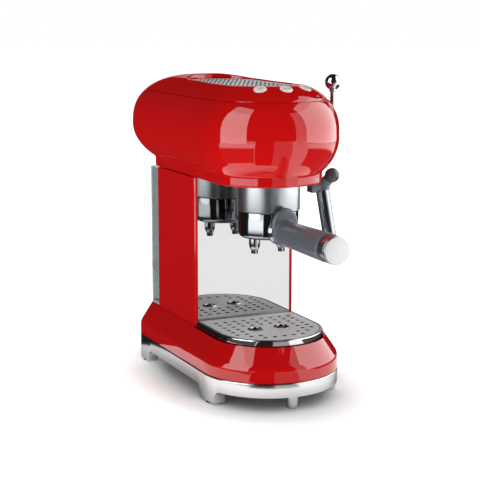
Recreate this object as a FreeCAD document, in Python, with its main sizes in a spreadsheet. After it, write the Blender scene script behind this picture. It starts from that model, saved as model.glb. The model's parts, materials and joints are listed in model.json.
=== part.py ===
# Compact pump espresso machine: base with drip tray, column, bulged head, group and portafilter.
# Millimetres. +Z is up, -Y is the front where the cup stands, +X is the side of the steam wand.
import FreeCAD, Part
import math
import os
import re
from types import SimpleNamespace

import Sketcher

V = FreeCAD.Vector
doc = FreeCAD.newDocument("espresso_machine")
sheet = doc.addObject("Spreadsheet::Sheet", "sizes")

# Driving dimensions: name, value in millimetres or degrees, what it is.
SIZES = [
    ("clearance", 0.3, "gap between pieces that move past each other"),
    ("running_fit", 0.05, "radial play of a spindle in its bore"),
    ("bolt_play", 0.2, "radial play of a screw in its hole"),
    ("group_y", -40, "axis of the group, and centre of the round fronts of base and tray"),
    # Base
    ("base_half", 73.5, "half-width of the base"),
    ("base_rear", 153, "rear face of the base"),
    ("base_corner", 12, "plan radius of the rear corners"),
    ("pad_height", 2, "rubber pad under a leg"),
    ("pad_radius", 5, "rubber pad under a leg"),
    ("pad_front", 5, "front pads ahead of the group's axis"),
    ("pad_inset", 16, "rear pads from the rear face"),
    ("arch_top", 15.5, "underside of the frame between the legs"),
    ("arch_round", 9, "rounding where an arch meets a leg"),
    ("frame_top", 30, "top of the base frame"),
    ("frame_wall", 5, "frame wall beside the base plate"),
    ("leg_wall", 12, "frame wall at legs and ledge"),
    ("leg_front_y", -60, "front end of a front leg"),
    ("leg_back_y", -29, "rear end of a front leg"),
    ("rear_leg_y", 120, "front end of a rear leg"),
    ("rear_arch_half", 50, "half-width of the arch at the rear"),
    ("plate_thick", 4, "base plate"),
    ("foot_radius", 6.5, "round front foot"),
    ("foot_inset", 15.5, "round front foot from the front of the base"),
    ("foot_stud", 3, "stud of the front foot in the base plate"),
    ("skirt_band", 15, "height of the upright band of the skirt"),
    ("skirt_top", 66, "top of the rear skirt"),
    ("skirt_half", 59, "half-width at the top of the skirt"),
    ("skirt_wall", 2.5, "wall of the skirt"),
    ("well_inset", 26.5, "side of the head to the service opening through its floor and the skirt"),
    ("well_front_y", 26, "front of the service opening"),
    # Drip tray
    ("splash_y", 18, "front face of the polished panel, where the tray ends"),
    ("rim_bottom", 64.4, "underside of the tray rim"),
    ("rim_top", 70.9, "top of the tray"),
    ("rim_half", 57.7, "half-width of the tray rim"),
    ("rim_wall", 3.5, "visible width of the rim"),
    ("rim_ledge", 3, "ledge that carries the grid"),
    ("rim_corner", 3, "rear corners of the tray"),
    ("grid_thick", 2, "tray grid"),
    ("basin_floor", 36, "underside of the tray tub"),
    ("basin_wall", 1.5, "tray tub"),
    ("drain_radius", 2.3, "drain hole"),
    ("drain_pitch", 10.5, "drain holes along a row"),
    ("drain_rows", 7, "distance between rows of drain holes"),
    ("finger_x", 15, "finger hole from the centre line"),
    ("finger_y", -42, "finger hole"),
    ("finger_radius", 5.5, "finger hole"),
    ("finger_lip", 3, "width of the raised lip round a finger hole"),
    ("finger_rise", 1.2, "height of that lip"),
    # Column and panel
    ("column_half", 58.5, "half-width of the column"),
    ("column_front", 17, "front edge of the column's sides"),
    ("column_rear", 122, "rear edge of the column's sides"),
    ("column_wall", 3, "wall of the column"),
    ("column_round", 3.5, "rounding of the column's front edges"),
    ("splash_half", 54.6, "half-width of the polished panel"),
    ("splash_thick", 1.5, "polished panel"),
    ("lip_width", 4, "lip behind the panel's edges"),
    ("lip_thick", 2.5, "lip behind the panel's edges"),
    ("lip_bar", 12, "cross bars behind the panel's ends"),
    ("chassis_y", 80, "front face of the upright chassis plate"),
    ("chassis_thick", 3, "chassis plate"),
    ("chassis_play", 2, "chassis plate to the side of the service opening"),
    ("chassis_foot", 14, "length of the chassis foot"),
    ("screw_radius", 2, "thread of the chassis screws and group bolts"),
    ("screw_head", 3.6, "head radius"),
    ("screw_head_tall", 2.6, "head height"),
    ("chassis_screw_inset", 10, "chassis screws from the plate's sides"),
    # Head
    ("head_half", 74.5, "half-width of the head"),
    ("head_y", -36, "centre of the head's round front"),
    ("head_rear", 187, "rear end of the head"),
    ("head_corner", 35, "plan radius of the head's rear corners"),
    ("neck_z", 225, "underside of the head"),
    ("collar_top", 236, "height where the upright collar meets the bulge"),
    ("wide_z", 272.5, "height where the head is widest"),
    ("belly_radius", 47, "curve of the bulge below its widest line"),
    ("belly_reach", 47 / 36.5, "height of that curve against its drop to the collar"),
    ("rear_draw", 1.9, "how much more the bulge draws in at the rear than at the sides"),
    ("seam_z", 310, "seam between head shell and top cover"),
    ("crown_z", 328.5, "crown of the dome"),
    ("dome_power", 2.5, "fullness of the dome, 2 would be an ellipse"),
    ("head_wall", 2.5, "wall of the head"),
    ("recess_half", 36, "half-width of the cup-warmer recess"),
    ("recess_y", -16, "centre of the recess's round front"),
    ("recess_rear", 111, "rear end of the recess"),
    ("recess_floor", 321, "floor of the recess"),
    ("warmer_thick", 1.5, "cup-warmer grid"),
    ("slot_length", 7, "slot of the cup-warmer grid"),
    ("slot_width", 2.8, "slot of the cup-warmer grid"),
    ("slot_pitch", 10, "slots along a row"),
    ("slot_rows", 5.5, "distance between rows of slots"),
    ("head_plate_thick", 3, "plate inside the head"),
    # Buttons
    ("button_ring", 44, "buttons from the centre of the head's round front"),
    ("button_turn", 34.6, "angle between two buttons"),
    ("button_radius", 6.65, "button cap"),
    ("button_proud", 1.1, "how far a cap stands above the dome"),
    ("button_depth", 9.5, "cap below the dome's surface"),
    ("button_guide_wall", 2, "wall of the guide round a cap"),
    ("button_guide", 12, "guide below the dome's surface"),
    ("button_switch", 3, "thickness of a switch"),
    # Steam lever and valve
    ("lever_inset", 7.1, "pivot of the steam lever inside the head's widest line"),
    ("lever_turn", 23.1, "angle of the pivot round the head's front, from the side"),
    ("lever_rise", 9.5, "pivot of the steam lever above the head's widest line"),
    ("lever_hub", 4.5, "hub radius"),
    ("lever_hub_out", 2, "hub beyond the plane of the lever"),
    ("lever_hub_in", 6, "hub from the plane of the lever to the valve"),
    ("lever_spindle", 3, "spindle radius"),
    ("lever_stalk", 2.4, "stalk radius"),
    ("lever_reach", 44.5, "pivot to the centre of the ball"),
    ("lever_ball", 8.2, "ball radius"),
    ("lever_ball_hole", 5, "depth of the stalk in the ball"),
    ("lever_slot_turn", 92, "angle of the slot in the head"),
    ("valve_length", 18, "steam valve along its spindle"),
    ("valve_half", 8, "half-height of the steam valve"),
    ("valve_reach", 26.5, "spindle to the rear face of the steam valve"),
    ("valve_leg", 8, "thickness of the valve's leg"),
    ("valve_leg_back", 8.5, "spindle to the front face of the valve's leg"),
    # Steam wand
    ("wand_front", 6, "swivel axis of the steam wand ahead of the centre of the head's front"),
    ("wand_drop", 7.7, "swivel axis of the steam wand below the head"),
    ("wand_inset", 21.1, "side of the head to the inner end of the swivel barrel"),
    ("wand_barrel", 7, "swivel barrel radius"),
    ("wand_barrel_long", 12, "swivel barrel length"),
    ("wand_pin", 4, "swivel pin radius"),
    ("wand_pin_long", 5.5, "swivel pin length"),
    ("wand_socket_long", 6, "socket along the swivel axis"),
    ("wand_socket_half", 6, "half-width of the socket"),
    ("wand_out", 5.5, "sleeve leaning outwards, degrees"),
    ("wand_forward", 10, "sleeve leaning forwards, degrees"),
    ("wand_collar", 7.8, "collar radius"),
    ("wand_collar_long", 10, "swivel axis to the end of the collar"),
    ("wand_sleeve", 6.9, "sleeve radius"),
    ("wand_sleeve_long", 64, "sleeve length"),
    ("wand_pipe", 3, "steam pipe radius"),
    ("wand_tip", 4, "pipe beyond the sleeve"),
    ("knob_radius", 6.8, "thumb knob"),
    ("knob_out", 13.1, "centre of the thumb knob from the barrel's inner end"),
    ("knob_front", 13.5, "centre of the thumb knob ahead of the swivel axis"),
    ("knob_rise", 11.7, "centre of the thumb knob above the swivel axis"),
    ("steam_pipe", 2, "pipe from valve to socket"),
    ("steam_inset", 3.9, "that pipe from the barrel's inner end"),
    # Group
    ("group_radius", 32.8, "outside of the group"),
    ("group_bottom", 196.3, "lower edge of the group"),
    ("group_ceiling", 213, "ceiling of the group"),
    ("bayonet_radius", 30.8, "bore that the ears turn in"),
    ("lip_radius", 28.3, "bore of the bayonet lip"),
    ("lip_tall", 3.7, "height of the bayonet lip"),
    ("water_bore", 3, "water hole in the group"),
    ("gasket_inner", 24, "inside of the gasket"),
    ("gasket_tall", 5, "height of the gasket"),
    ("screen_radius", 23.5, "shower screen"),
    ("screen_thick", 1.2, "shower screen"),
    ("shower_screw", 2, "shower screw radius"),
    ("shower_screw_head", 5, "shower screw head"),
    ("shower_screw_long", 9, "shower screw in the group"),
    ("bolt_ring", 27, "group bolts from the group's axis"),
    ("bolt_bite", 8, "group bolts in the group"),
    ("block_foot", 22, "foot of the thermoblock"),
    ("block_foot_tall", 7, "foot of the thermoblock"),
    ("block_inset", 41.5, "side of the head to the thermoblock"),
    ("block_tall", 32, "thermoblock above its foot"),
    ("thermostat_radius", 8, "thermostat"),
    ("thermostat_tall", 6, "thermostat"),
    # Portafilter
    ("filter_radius", 31.4, "outside of the portafilter"),
    ("filter_bottom", 168, "underside of the portafilter"),
    ("filter_round", 6.5, "rounding of its lower edge"),
    ("filter_floor", 6, "floor of the portafilter"),
    ("filter_rim", 206.4, "rim that carries the basket"),
    ("filter_wall", 1.6, "wall below the rim"),
    ("ear_tall", 3, "bayonet ears"),
    ("ear_width", 14, "bayonet ears"),
    ("basket_wall", 0.8, "filter basket"),
    ("basket_rim", 1.2, "rim of the filter basket"),
    ("basket_bottom", 181, "underside of the filter basket"),
    ("spout_x", 15.4, "spouts from the centre line"),
    ("spout_radius", 5.8, "spout"),
    ("spout_tip", 3.5, "spout tip radius"),
    ("spout_shoulder", 159.5, "where a spout narrows"),
    ("spout_step", 155, "where the tip starts"),
    ("spout_bottom", 151, "end of a spout"),
    ("handle_z", 177.5, "axis of the handle"),
    ("stem_radius", 9.5, "stem of the handle"),
    ("stem_end", 36, "group's axis to the end of the stem"),
    ("collar_radius", 12.8, "bright collar on the stem"),
    ("collar_long", 3.5, "length of the collar"),
    ("guard_half", 14.8, "half-width of the guard"),
    ("guard_z", 183, "centre of the guard"),
    ("guard_tall", 20, "half-height of the guard"),
    ("guard_thick", 6.5, "guard"),
    ("grip_long", 96, "stem to the end of the grip"),
    ("grip_start", 12.8, "grip radius at the guard"),
    ("grip_end", 14.3, "grip radius at the cap"),
    ("cap_groove", 2.2, "groove between grip and cap"),
    ("cap_groove_radius", 11.5, "groove between grip and cap"),
    ("cap_radius", 13.8, "end cap"),
    ("cap_long", 14, "end cap"),
    ("cap_round", 1.5, "rounding of the end cap"),
    # Water tank
    ("tank_front", 86, "front wall of the tank"),
    ("tank_rear", 152, "rear wall of the tank"),
    ("tank_gap", 0.7, "play between tank and column"),
    ("tank_top", 223.5, "top of the tank"),
    ("tank_wall", 2, "wall of the tank"),
    ("tank_round", 8, "rear edges of the tank"),
    ("grip_mark_y", 137, "finger mark on the tank's side"),
    ("grip_mark_z", 113, "finger mark on the tank's side"),
    ("grip_mark", 7, "radius of the finger mark"),
    ("grip_mark_depth", 1, "depth of the finger mark"),
    ("spigot_z", 82, "outlet of the tank"),
    ("spigot_radius", 5, "outlet of the tank"),
    ("spigot_long", 14, "outlet of the tank"),
    ("socket_wall", 4, "wall of the tank socket"),
    ("socket_long", 14, "tank socket"),
    # Pump, board and pipes
    ("pump_y", 50, "axis of the pump"),
    ("pump_low", 100, "underside of the pump's coil"),
    ("pump_tall", 62, "height of the pump's coil"),
    ("pump_half", 17, "half-width of the pump's coil"),
    ("pump_neck", 9, "ends of the pump"),
    ("pump_neck_tall", 6, "ends of the pump"),
    ("bracket_half", 12, "half-width of the pump bracket"),
    ("bracket_tall", 30, "height of the pump bracket"),
    ("hose_radius", 3, "hose from tank to pump"),
    ("hose_bend", 9, "bend of that hose"),
    ("pipe_radius", 2, "pipe from pump to thermoblock"),
    ("pipe_bend", 14, "bend of that pipe"),
    ("board_inset", 2, "control board from the chassis plate's edge"),
    ("board_wide", 24, "control board"),
    ("board_low", 100, "lower edge of the control board"),
    ("board_tall", 90, "control board"),
    ("board_thick", 1.6, "control board"),
    ("standoff_long", 5, "board standoffs"),
    ("standoff_radius", 2.5, "board standoffs"),
    ("standoff_inset", 4, "board standoffs from the board's edges"),
    ("chip_tall", 6, "relay on the board, half as tall as the transformer"),
    ("chip_margin", 3, "relay and transformer from the board's edges"),
    ("chip_long", 19, "relay and transformer along the board"),
    # Rear of the base
    ("gland_x", -40, "cord gland"),
    ("gland_z", 47, "cord gland and power rocker"),
    ("gland_bore", 3.6, "radius of the cord's hole"),
    ("gland_body", 6, "gland through the wall"),
    ("gland_flange", 9, "flange of the gland"),
    ("gland_flange_thick", 3, "flange of the gland"),
    ("gland_long", 6, "gland inside the wall"),
    ("rocker_x", 40, "power rocker"),
    ("rocker_half", 6, "half-width of the rocker"),
    ("rocker_half_tall", 8, "half-height of the rocker"),
    ("rocker_gap", 0.9, "play round the rocker"),
    ("rocker_back", 0.5, "rocker behind its pin's axis"),
    ("rocker_proud", 2.4, "rocker beyond its frame"),
    ("rocker_pin", 1.2, "pin of the rocker"),
    ("switch_wall", 3, "border of the switch frame"),
    ("switch_flange", 1.5, "switch frame in front of the wall"),
    ("switch_depth", 6, "switch frame behind the wall"),
]

for row, (name, value, meaning) in enumerate(SIZES, start=1):
    sheet.set(f"A{row}", meaning)
    sheet.set(f"B{row}", str(value))
    sheet.setAlias(f"B{row}", name)
doc.recompute()

NAMES = {name for name, value, meaning in SIZES}
s = SimpleNamespace(**{name: float(sheet.get(name)) for name in NAMES})
NODES = []
ALONG = {
    "x": FreeCAD.Rotation(V(0, 1, 0), 90),
    "y": FreeCAD.Rotation(V(1, 0, 0), -90),
    "front": FreeCAD.Rotation(V(1, 0, 0), 90),
    "z": FreeCAD.Rotation(),
}
FAR = 400
START_RING = 10


def formula(text):
    """Point every size named in a formula at its cell of the sheet."""
    return re.sub(r"[a-z][a-z_]*", lambda word: "sizes." + word[0] if word[0] in NAMES else word[0], text)


def place(item, x, y, z, along="z"):
    """Stand an item at a point given by formulas, with its own axis along a main direction."""
    item.Placement = FreeCAD.Placement(V(), ALONG[along])
    for axis, text in zip("xyz", (x, y, z)):
        item.setExpression("Placement.Base." + axis, formula(text))
    return item


def rod(name, radius, length, x="0", y="0", z="0", along="z"):
    """Cylinder bound to the sheet."""
    item = doc.addObject("Part::Cylinder", name)
    item.setExpression("Radius", formula(radius))
    item.setExpression("Height", formula(length))
    return place(item, x, y, z, along)


def block(name, x_span, y_span, z_span):
    """Box between pairs of formulas."""
    item = doc.addObject("Part::Box", name)
    for side, (low, high) in zip(("Length", "Width", "Height"), (x_span, y_span, z_span)):
        item.setExpression(side, formula(f"({high}) - ({low})"))
    return place(item, x_span[0], y_span[0], z_span[0])


def turned(name, points, x="0", y="0", z="0", along="z"):
    """Body turned about its own axis from corners given as radius and height formulas."""
    body = doc.addObject("PartDesign::Body", name)
    sketch = body.newObject("Sketcher::SketchObject", name + "_profile")
    plane = next(item for item in body.Origin.OriginFeatures if item.Role == "XZ_Plane")
    sketch.AttachmentSupport = [(plane, "")]
    sketch.MapMode = "FlatFace"
    count = len(points)
    start = [
        V(2 + math.cos(math.tau * i / count), math.sin(math.tau * i / count), 0) * START_RING
        for i in range(count)
    ]
    for i in range(count):
        sketch.addGeometry(Part.LineSegment(start[i], start[(i + 1) % count]), False)
    for i in range(count):
        sketch.addConstraint(Sketcher.Constraint("Coincident", i, 2, (i + 1) % count, 1))
    for i, corner in enumerate(points):
        for kind, text, now in zip(("DistanceX", "DistanceY"), corner, start[i]):
            index = sketch.addConstraint(Sketcher.Constraint(kind, -1, 1, i, 1, now))
            sketch.renameConstraint(index, f"{kind}_{i}")
            sketch.setExpression(f"Constraints.{kind}_{i}", formula(text))
    doc.recompute()
    spin = body.newObject("PartDesign::Revolution", name + "_spin")
    spin.Profile = sketch
    spin.ReferenceAxis = (sketch, ["V_Axis"])
    spin.Angle = 360
    return place(body, x, y, z, along)


def join(name, items):
    """One solid from several."""
    item = doc.addObject("Part::MultiFuse", name)
    item.Shapes = items
    return item


def gather(name, items):
    """Separate solids that share a node."""
    item = doc.addObject("Part::Compound", name)
    item.Links = items
    return item


def carve(name, base, tools):
    """A base with all the tools cut away."""
    item = doc.addObject("Part::Cut", name)
    item.Base = base
    item.Tool = tools[0] if len(tools) == 1 else join(name + "_tools", tools)
    return item


def rounded(name, base, radius, wanted):
    """Round the edges of a base that the wanted function picks."""
    doc.recompute()
    item = doc.addObject("Part::Fillet", name)
    item.Base = base
    edges = base.Shape.Edges
    item.Edges = [(i, radius, radius) for i, edge in enumerate(edges, start=1) if wanted(edge)]
    return item


def modelled(name, shape):
    """A piece whose shape follows a plan outline or a loft."""
    item = doc.addObject("Part::Feature", name)
    item.Shape = shape
    item.Placement = FreeCAD.Placement()
    return item


def node(label, item):
    """Keep an item as a named piece of the machine."""
    item.Label = label
    NODES.append(item)
    return item


def level_circle(edge, z):
    """True for a full circle that lies at a height."""
    box = edge.BoundBox
    return abs(box.ZMin - z) < 0.01 and abs(box.ZMax - z) < 0.01


def plan_wire(half, centre_y, rear, corner, z):
    """Plan outline with a round front, straight sides and rounded rear corners."""
    leg = math.sqrt(0.5)
    far = rear - corner
    near = half - corner
    left, front, right = V(-half, centre_y, z), V(0, centre_y - half, z), V(half, centre_y, z)
    back_right, back_left = V(half, far, z), V(-half, far, z)
    rear_right, rear_left = V(near, rear, z), V(-near, rear, z)
    edges = [
        Part.Arc(left, V(-half * leg, centre_y - half * leg, z), front),
        Part.Arc(front, V(half * leg, centre_y - half * leg, z), right),
        Part.LineSegment(right, back_right),
        Part.Arc(back_right, V(near + corner * leg, far + corner * leg, z), rear_right),
        Part.LineSegment(rear_right, rear_left),
        Part.Arc(rear_left, V(-near - corner * leg, far + corner * leg, z), back_left),
        Part.LineSegment(back_left, left),
    ]
    return Part.Wire([edge.toShape() for edge in edges])


def prism(half, centre_y, rear, corner, low, high):
    """Upright solid over a plan outline."""
    return Part.Face(plan_wire(half, centre_y, rear, corner, low)).extrude(V(0, 0, high - low))


def slab(x_low, x_high, y_low, y_high, z_low, z_high):
    """Plain box between six faces."""
    return Part.makeBox(x_high - x_low, y_high - y_low, z_high - z_low, V(x_low, y_low, z_low))


def pin(radius, x, y, low, high):
    """Plain upright cylinder."""
    return Part.makeCylinder(radius, high - low, V(x, y, low))


def base_prism(inset, low, high):
    """Solid over the base outline, drawn in by an inset."""
    return prism(
        s.base_half - inset, s.group_y, s.base_rear - inset, max(s.base_corner - inset, 1), low, high
    )


def rounded_arch(x_span, y_span, along):
    """Space under the frame between two legs, with rounded upper corners."""
    low = -s.frame_top
    space = slab(*x_span, *y_span, low, s.arch_top)
    picked = []
    for edge in space.Edges:
        box = edge.BoundBox
        is_top = abs(box.ZMin - s.arch_top) < 0.01
        if is_top and max(box.XLength, box.YLength) == (box.XLength if along == "x" else box.YLength):
            picked.append(edge)
    return space.makeFillet(s.arch_round, picked)


# Places that several pieces share, as formulas for bound pieces and as numbers for modelled ones
CHASSIS_HALF = "(head_half - well_inset - chassis_play)"
CHASSIS_SCREW_X = "(head_half - well_inset - chassis_play - chassis_screw_inset)"
LEVER_X = "((head_half - lever_inset) * cos(lever_turn))"
LEVER_Y = "(head_y - (head_half - lever_inset) * sin(lever_turn))"
LEVER_Z = "(wide_z + lever_rise)"
WAND_X = "(head_half - wand_inset)"
WAND_Y = "(head_y - wand_front)"
WAND_Z = "(neck_z - wand_drop)"
STEAM_X = "(head_half - wand_inset - steam_inset)"
BLOCK_RADIUS = "(head_half - block_inset)"
BOARD_X = "(board_inset - (head_half - well_inset - chassis_play))"
well_half = s.head_half - s.well_inset
chassis_half = well_half - s.chassis_play
lever_ring = s.head_half - s.lever_inset
lever_x = lever_ring * math.cos(math.radians(s.lever_turn))
lever_y = s.head_y - lever_ring * math.sin(math.radians(s.lever_turn))
lever_z = s.wide_z + s.lever_rise
wand_x = s.head_half - s.wand_inset
wand_y = s.head_y - s.wand_front
wand_z = s.neck_z - s.wand_drop
steam_x = wand_x - s.steam_inset
block_radius = s.head_half - s.block_inset
foot_y = s.group_y - s.base_half + s.foot_inset
plate_bottom = s.frame_top - s.plate_thick
chassis_back = s.chassis_y + s.chassis_thick
floor_top = s.neck_z + s.head_wall
head_deck = floor_top + s.head_plate_thick
chassis_screws = [
    (side * (chassis_half - s.chassis_screw_inset), s.chassis_y - s.chassis_foot / 2) for side in (-1, 1)
]
bolt_spots = [
    (
        s.bolt_ring * math.cos(math.radians(45 + 90 * k)),
        s.group_y + s.bolt_ring * math.sin(math.radians(45 + 90 * k)),
    )
    for k in range(4)
]


# Base frame: one ring with a ledge for the plate and four legs between arches
def base_frame():
    ring = base_prism(0, s.pad_height, s.frame_top)
    ring = ring.cut(base_prism(s.leg_wall, -1, FAR))
    ring = ring.cut(base_prism(s.frame_wall, plate_bottom, FAR))
    ring = ring.cut(pin(s.foot_radius + s.clearance, 0, foot_y, -1, s.frame_top))
    ring = ring.cut(rounded_arch((-FAR, FAR), (s.leg_back_y, s.rear_leg_y), "x"))
    ring = ring.cut(rounded_arch((-FAR, FAR), (-FAR, s.leg_front_y), "x"))
    return ring.cut(rounded_arch((-s.rear_arch_half, s.rear_arch_half), (s.rear_leg_y, FAR), "y"))


def base_plate():
    plate = base_prism(s.frame_wall + s.clearance, plate_bottom, s.frame_top)
    plate = plate.cut(pin(s.foot_stud + s.bolt_play, 0, foot_y, 0, FAR))
    for x, y in chassis_screws:
        plate = plate.cut(pin(s.screw_radius + s.bolt_play, x, y, 0, FAR))
    return plate


node("base_frame", modelled("frame_ring", base_frame()))
node("base_plate", modelled("plate", base_plate()))
node(
    "foot_pads",
    gather(
        "pad_set",
        [
            rod(f"pad_{k}", "pad_radius", "pad_height", f"{side} * (base_half - leg_wall / 2)", where)
            for k, (side, where) in enumerate(
                (side, where) for side in (-1, 1) for where in ("group_y - pad_front", "base_rear - pad_inset")
            )
        ],
    ),
)
node(
    "front_foot",
    turned(
        "round_foot",
        [
            ("0", "0"),
            ("foot_radius - 1", "0"),
            ("foot_radius", "1"),
            ("foot_radius", "frame_top - plate_thick"),
            ("foot_stud", "frame_top - plate_thick"),
            ("foot_stud", "frame_top - 1"),
            ("0", "frame_top - 1"),
        ],
        y="group_y - base_half + foot_inset",
    ),
)


# Skirt: an upright band with a sloped shoulder, drawn in by an inset
def skirt(inset, low, high):
    band_top = s.frame_top + s.skirt_band
    corner = max(s.base_corner - inset, 1)
    rear = s.base_rear - inset
    sections = [
        plan_wire(s.base_half - inset, s.group_y, rear, corner, band_top),
        plan_wire(s.skirt_half - inset, s.group_y, rear, corner, s.skirt_top),
    ]
    band = base_prism(inset, s.frame_top - 1, band_top)
    shoulder = Part.makeLoft(sections, True, True)
    return band.fuse(shoulder).common(slab(-FAR, FAR, -FAR, FAR, low, high))


def rear_base_shell():
    behind = slab(-FAR, FAR, s.splash_y, FAR, -FAR, FAR)
    inside = slab(-FAR, FAR, s.splash_y + s.skirt_wall, FAR, -FAR, s.skirt_top - s.skirt_wall)
    shell = skirt(0, s.frame_top, s.skirt_top).common(behind)
    shell = shell.cut(skirt(s.skirt_wall, 0, FAR).common(inside))
    shell = shell.cut(
        slab(-well_half, well_half, s.well_front_y, chassis_back + s.clearance, s.frame_top, FAR)
    )
    wall_hole = Part.makeCylinder(
        s.gland_body + s.bolt_play, 4 * s.skirt_wall, V(s.gland_x, s.base_rear + 1, s.gland_z), V(0, -1, 0)
    )
    half = s.rocker_half + s.rocker_gap + s.switch_wall / 2
    tall = s.rocker_half_tall + s.rocker_gap + s.switch_wall / 2
    window = slab(
        s.rocker_x - half - s.bolt_play,
        s.rocker_x + half + s.bolt_play,
        s.base_rear - 4 * s.skirt_wall,
        FAR,
        s.gland_z - tall - s.bolt_play,
        s.gland_z + tall + s.bolt_play,
    )
    return shell.cut(wall_hole).cut(window)


def tray_front_shell():
    ahead = slab(-FAR, FAR, -FAR, s.splash_y - s.clearance, -FAR, FAR)
    shell = skirt(0, s.frame_top + s.clearance, s.rim_bottom).common(ahead)
    return shell.cut(skirt(s.skirt_wall, 0, FAR))


node("rear_base_shell", modelled("rear_skirt", rear_base_shell()))
node("tray_front_shell", modelled("front_skirt", tray_front_shell()))


# Tray: rim on the skirt, tub hung below the rim, grid on the rim's ledge
def tray_prism(inset, low, high):
    rear = tray_back - inset
    return prism(s.rim_half - inset, s.group_y, rear, max(s.rim_corner - inset, 0.5), low, high)


tray_back = s.column_front - s.clearance
grid_bottom = s.rim_top - s.grid_thick
ledge_inset = s.rim_wall + s.rim_ledge
flange_inset = s.skirt_wall


def tray_rim():
    rim = tray_prism(0, s.rim_bottom, s.rim_top)
    rim = rim.cut(tray_prism(ledge_inset, 0, FAR))
    return rim.cut(tray_prism(s.rim_wall, grid_bottom, FAR))


def tray_basin():
    flange_low = s.rim_bottom - s.basin_wall
    tub = tray_prism(ledge_inset - s.basin_wall, s.basin_floor, s.rim_bottom)
    tub = tub.fuse(tray_prism(flange_inset, flange_low, s.rim_bottom))
    return tub.cut(tray_prism(ledge_inset, s.basin_floor + s.basin_wall, FAR))


def circle_wire(radius, x, y, z):
    return Part.Wire(Part.Circle(V(x, y, z), V(0, 0, 1), radius).toShape())


def in_plan(x, y, half, centre_y, rear):
    """True where a point lies inside a plan outline with a straight rear."""
    if y > centre_y:
        return abs(x) < half and y < rear
    return math.hypot(x, y - centre_y) < half


def tray_grid():
    half = s.rim_half - s.rim_wall - s.clearance
    rear = tray_back - s.rim_wall - s.clearance
    corner = s.rim_corner
    outline = plan_wire(half, s.group_y, rear, corner, grid_bottom)
    margin = s.rim_ledge + 2 * s.drain_radius
    clear = s.finger_radius + s.finger_lip + 2 * s.drain_radius
    wires = [outline]
    fingers = [(side * s.finger_x, s.finger_y) for side in (-1, 1)]
    rows = int((rear - s.group_y + half) / s.drain_rows)
    columns = int(half / s.drain_pitch) + 1
    for i in range(rows + 1):
        y = rear - margin - i * s.drain_rows
        shift = s.drain_pitch / 2 * (i % 2)
        for j in range(-columns, columns + 1):
            x = j * s.drain_pitch + shift
            near_finger = any(math.hypot(x - fx, y - fy) < clear for fx, fy in fingers)
            if in_plan(x, y, half - margin, s.group_y, rear - margin + 0.1) and not near_finger:
                wires.append(circle_wire(s.drain_radius, x, y, grid_bottom))
    for fx, fy in fingers:
        wires.append(circle_wire(s.finger_radius, fx, fy, grid_bottom))
    plate = Part.makeFace(wires, "Part::FaceMakerBullseye").extrude(V(0, 0, s.grid_thick))
    for fx, fy in fingers:
        top = s.rim_top + s.finger_rise
        lip = pin(s.finger_radius + s.finger_lip, fx, fy, grid_bottom, top)
        lip = lip.makeFillet(s.finger_rise * 0.9, [e for e in lip.Edges if level_circle(e, top)])
        plate = plate.fuse(lip.cut(pin(s.finger_radius, fx, fy, 0, FAR)))
    return plate.removeSplitter()


node("tray_rim", modelled("rim", tray_rim()))
node("tray_basin", modelled("tub", tray_basin()))
node("tray_grid", modelled("drain_plate", tray_grid()))


# Column: a channel open to the rear, with a pocket for the polished panel
lip_back = "splash_y + splash_thick + lip_thick"
column_outer = block(
    "column_outer", ("-column_half", "column_half"), ("column_front", "column_rear"), ("skirt_top", "neck_z")
)
column_body = rounded(
    "column_round_front",
    column_outer,
    s.column_round,
    lambda edge: edge.BoundBox.ZLength > 1 and abs(edge.BoundBox.YMax - s.column_front) < 0.01,
)
hollow_half = "column_half - column_wall"
column_tools = [
    block(
        "column_hollow",
        (f"-({hollow_half})", hollow_half),
        (lip_back, "column_rear + 1"),
        ("0", "neck_z + 1"),
    ),
    block(
        "column_window",
        ("lip_width - splash_half", "splash_half - lip_width"),
        ("column_front - 1", "column_rear"),
        ("skirt_top + lip_bar", "neck_z - lip_bar"),
    ),
    block(
        "column_pocket",
        ("-splash_half - bolt_play", "splash_half + bolt_play"),
        ("column_front - 1", "splash_y + splash_thick"),
        ("0", "neck_z + 1"),
    ),
]
node("column_shell", carve("column", column_body, column_tools))
node(
    "backsplash",
    block(
        "panel",
        ("-splash_half", "splash_half"),
        ("splash_y", "splash_y + splash_thick"),
        ("skirt_top", "neck_z"),
    ),
)


# Chassis plate with a foot on the base plate
chassis_upright = block(
    "chassis_upright",
    (f"-{CHASSIS_HALF}", CHASSIS_HALF),
    ("chassis_y", "chassis_y + chassis_thick"),
    ("frame_top", "neck_z + head_wall"),
)
chassis_sole = block(
    "chassis_sole",
    (f"-{CHASSIS_HALF}", CHASSIS_HALF),
    ("chassis_y - chassis_foot", "chassis_y"),
    ("frame_top", "frame_top + chassis_thick"),
)
chassis_holes = [
    rod(
        f"chassis_hole_{k}",
        "screw_radius + bolt_play",
        "chassis_thick + 2",
        f"{side} * {CHASSIS_SCREW_X}",
        "chassis_y - chassis_foot / 2",
        "frame_top - 1",
    )
    for k, side in enumerate((-1, 1))
]
spigot_hole = rod(
    "spigot_hole", "spigot_radius + clearance", "chassis_thick + 2", "0", "chassis_y - 1", "spigot_z", "y"
)
node(
    "chassis_frame",
    carve("chassis", join("chassis_blank", [chassis_upright, chassis_sole]), chassis_holes + [spigot_hole]),
)
node(
    "chassis_screws",
    gather(
        "chassis_screw_set",
        [
            turned(
                f"chassis_screw_{k}",
                [
                    ("0", "-plate_thick - 1"),
                    ("screw_radius", "-plate_thick - 1"),
                    ("screw_radius", "chassis_thick"),
                    ("screw_head", "chassis_thick"),
                    ("screw_head", "chassis_thick + screw_head_tall"),
                    ("0", "chassis_thick + screw_head_tall"),
                ],
                x=f"{side} * {CHASSIS_SCREW_X}",
                y="chassis_y - chassis_foot / 2",
                z="frame_top",
            )
            for k, side in enumerate((-1, 1))
        ],
    ),
)


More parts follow.
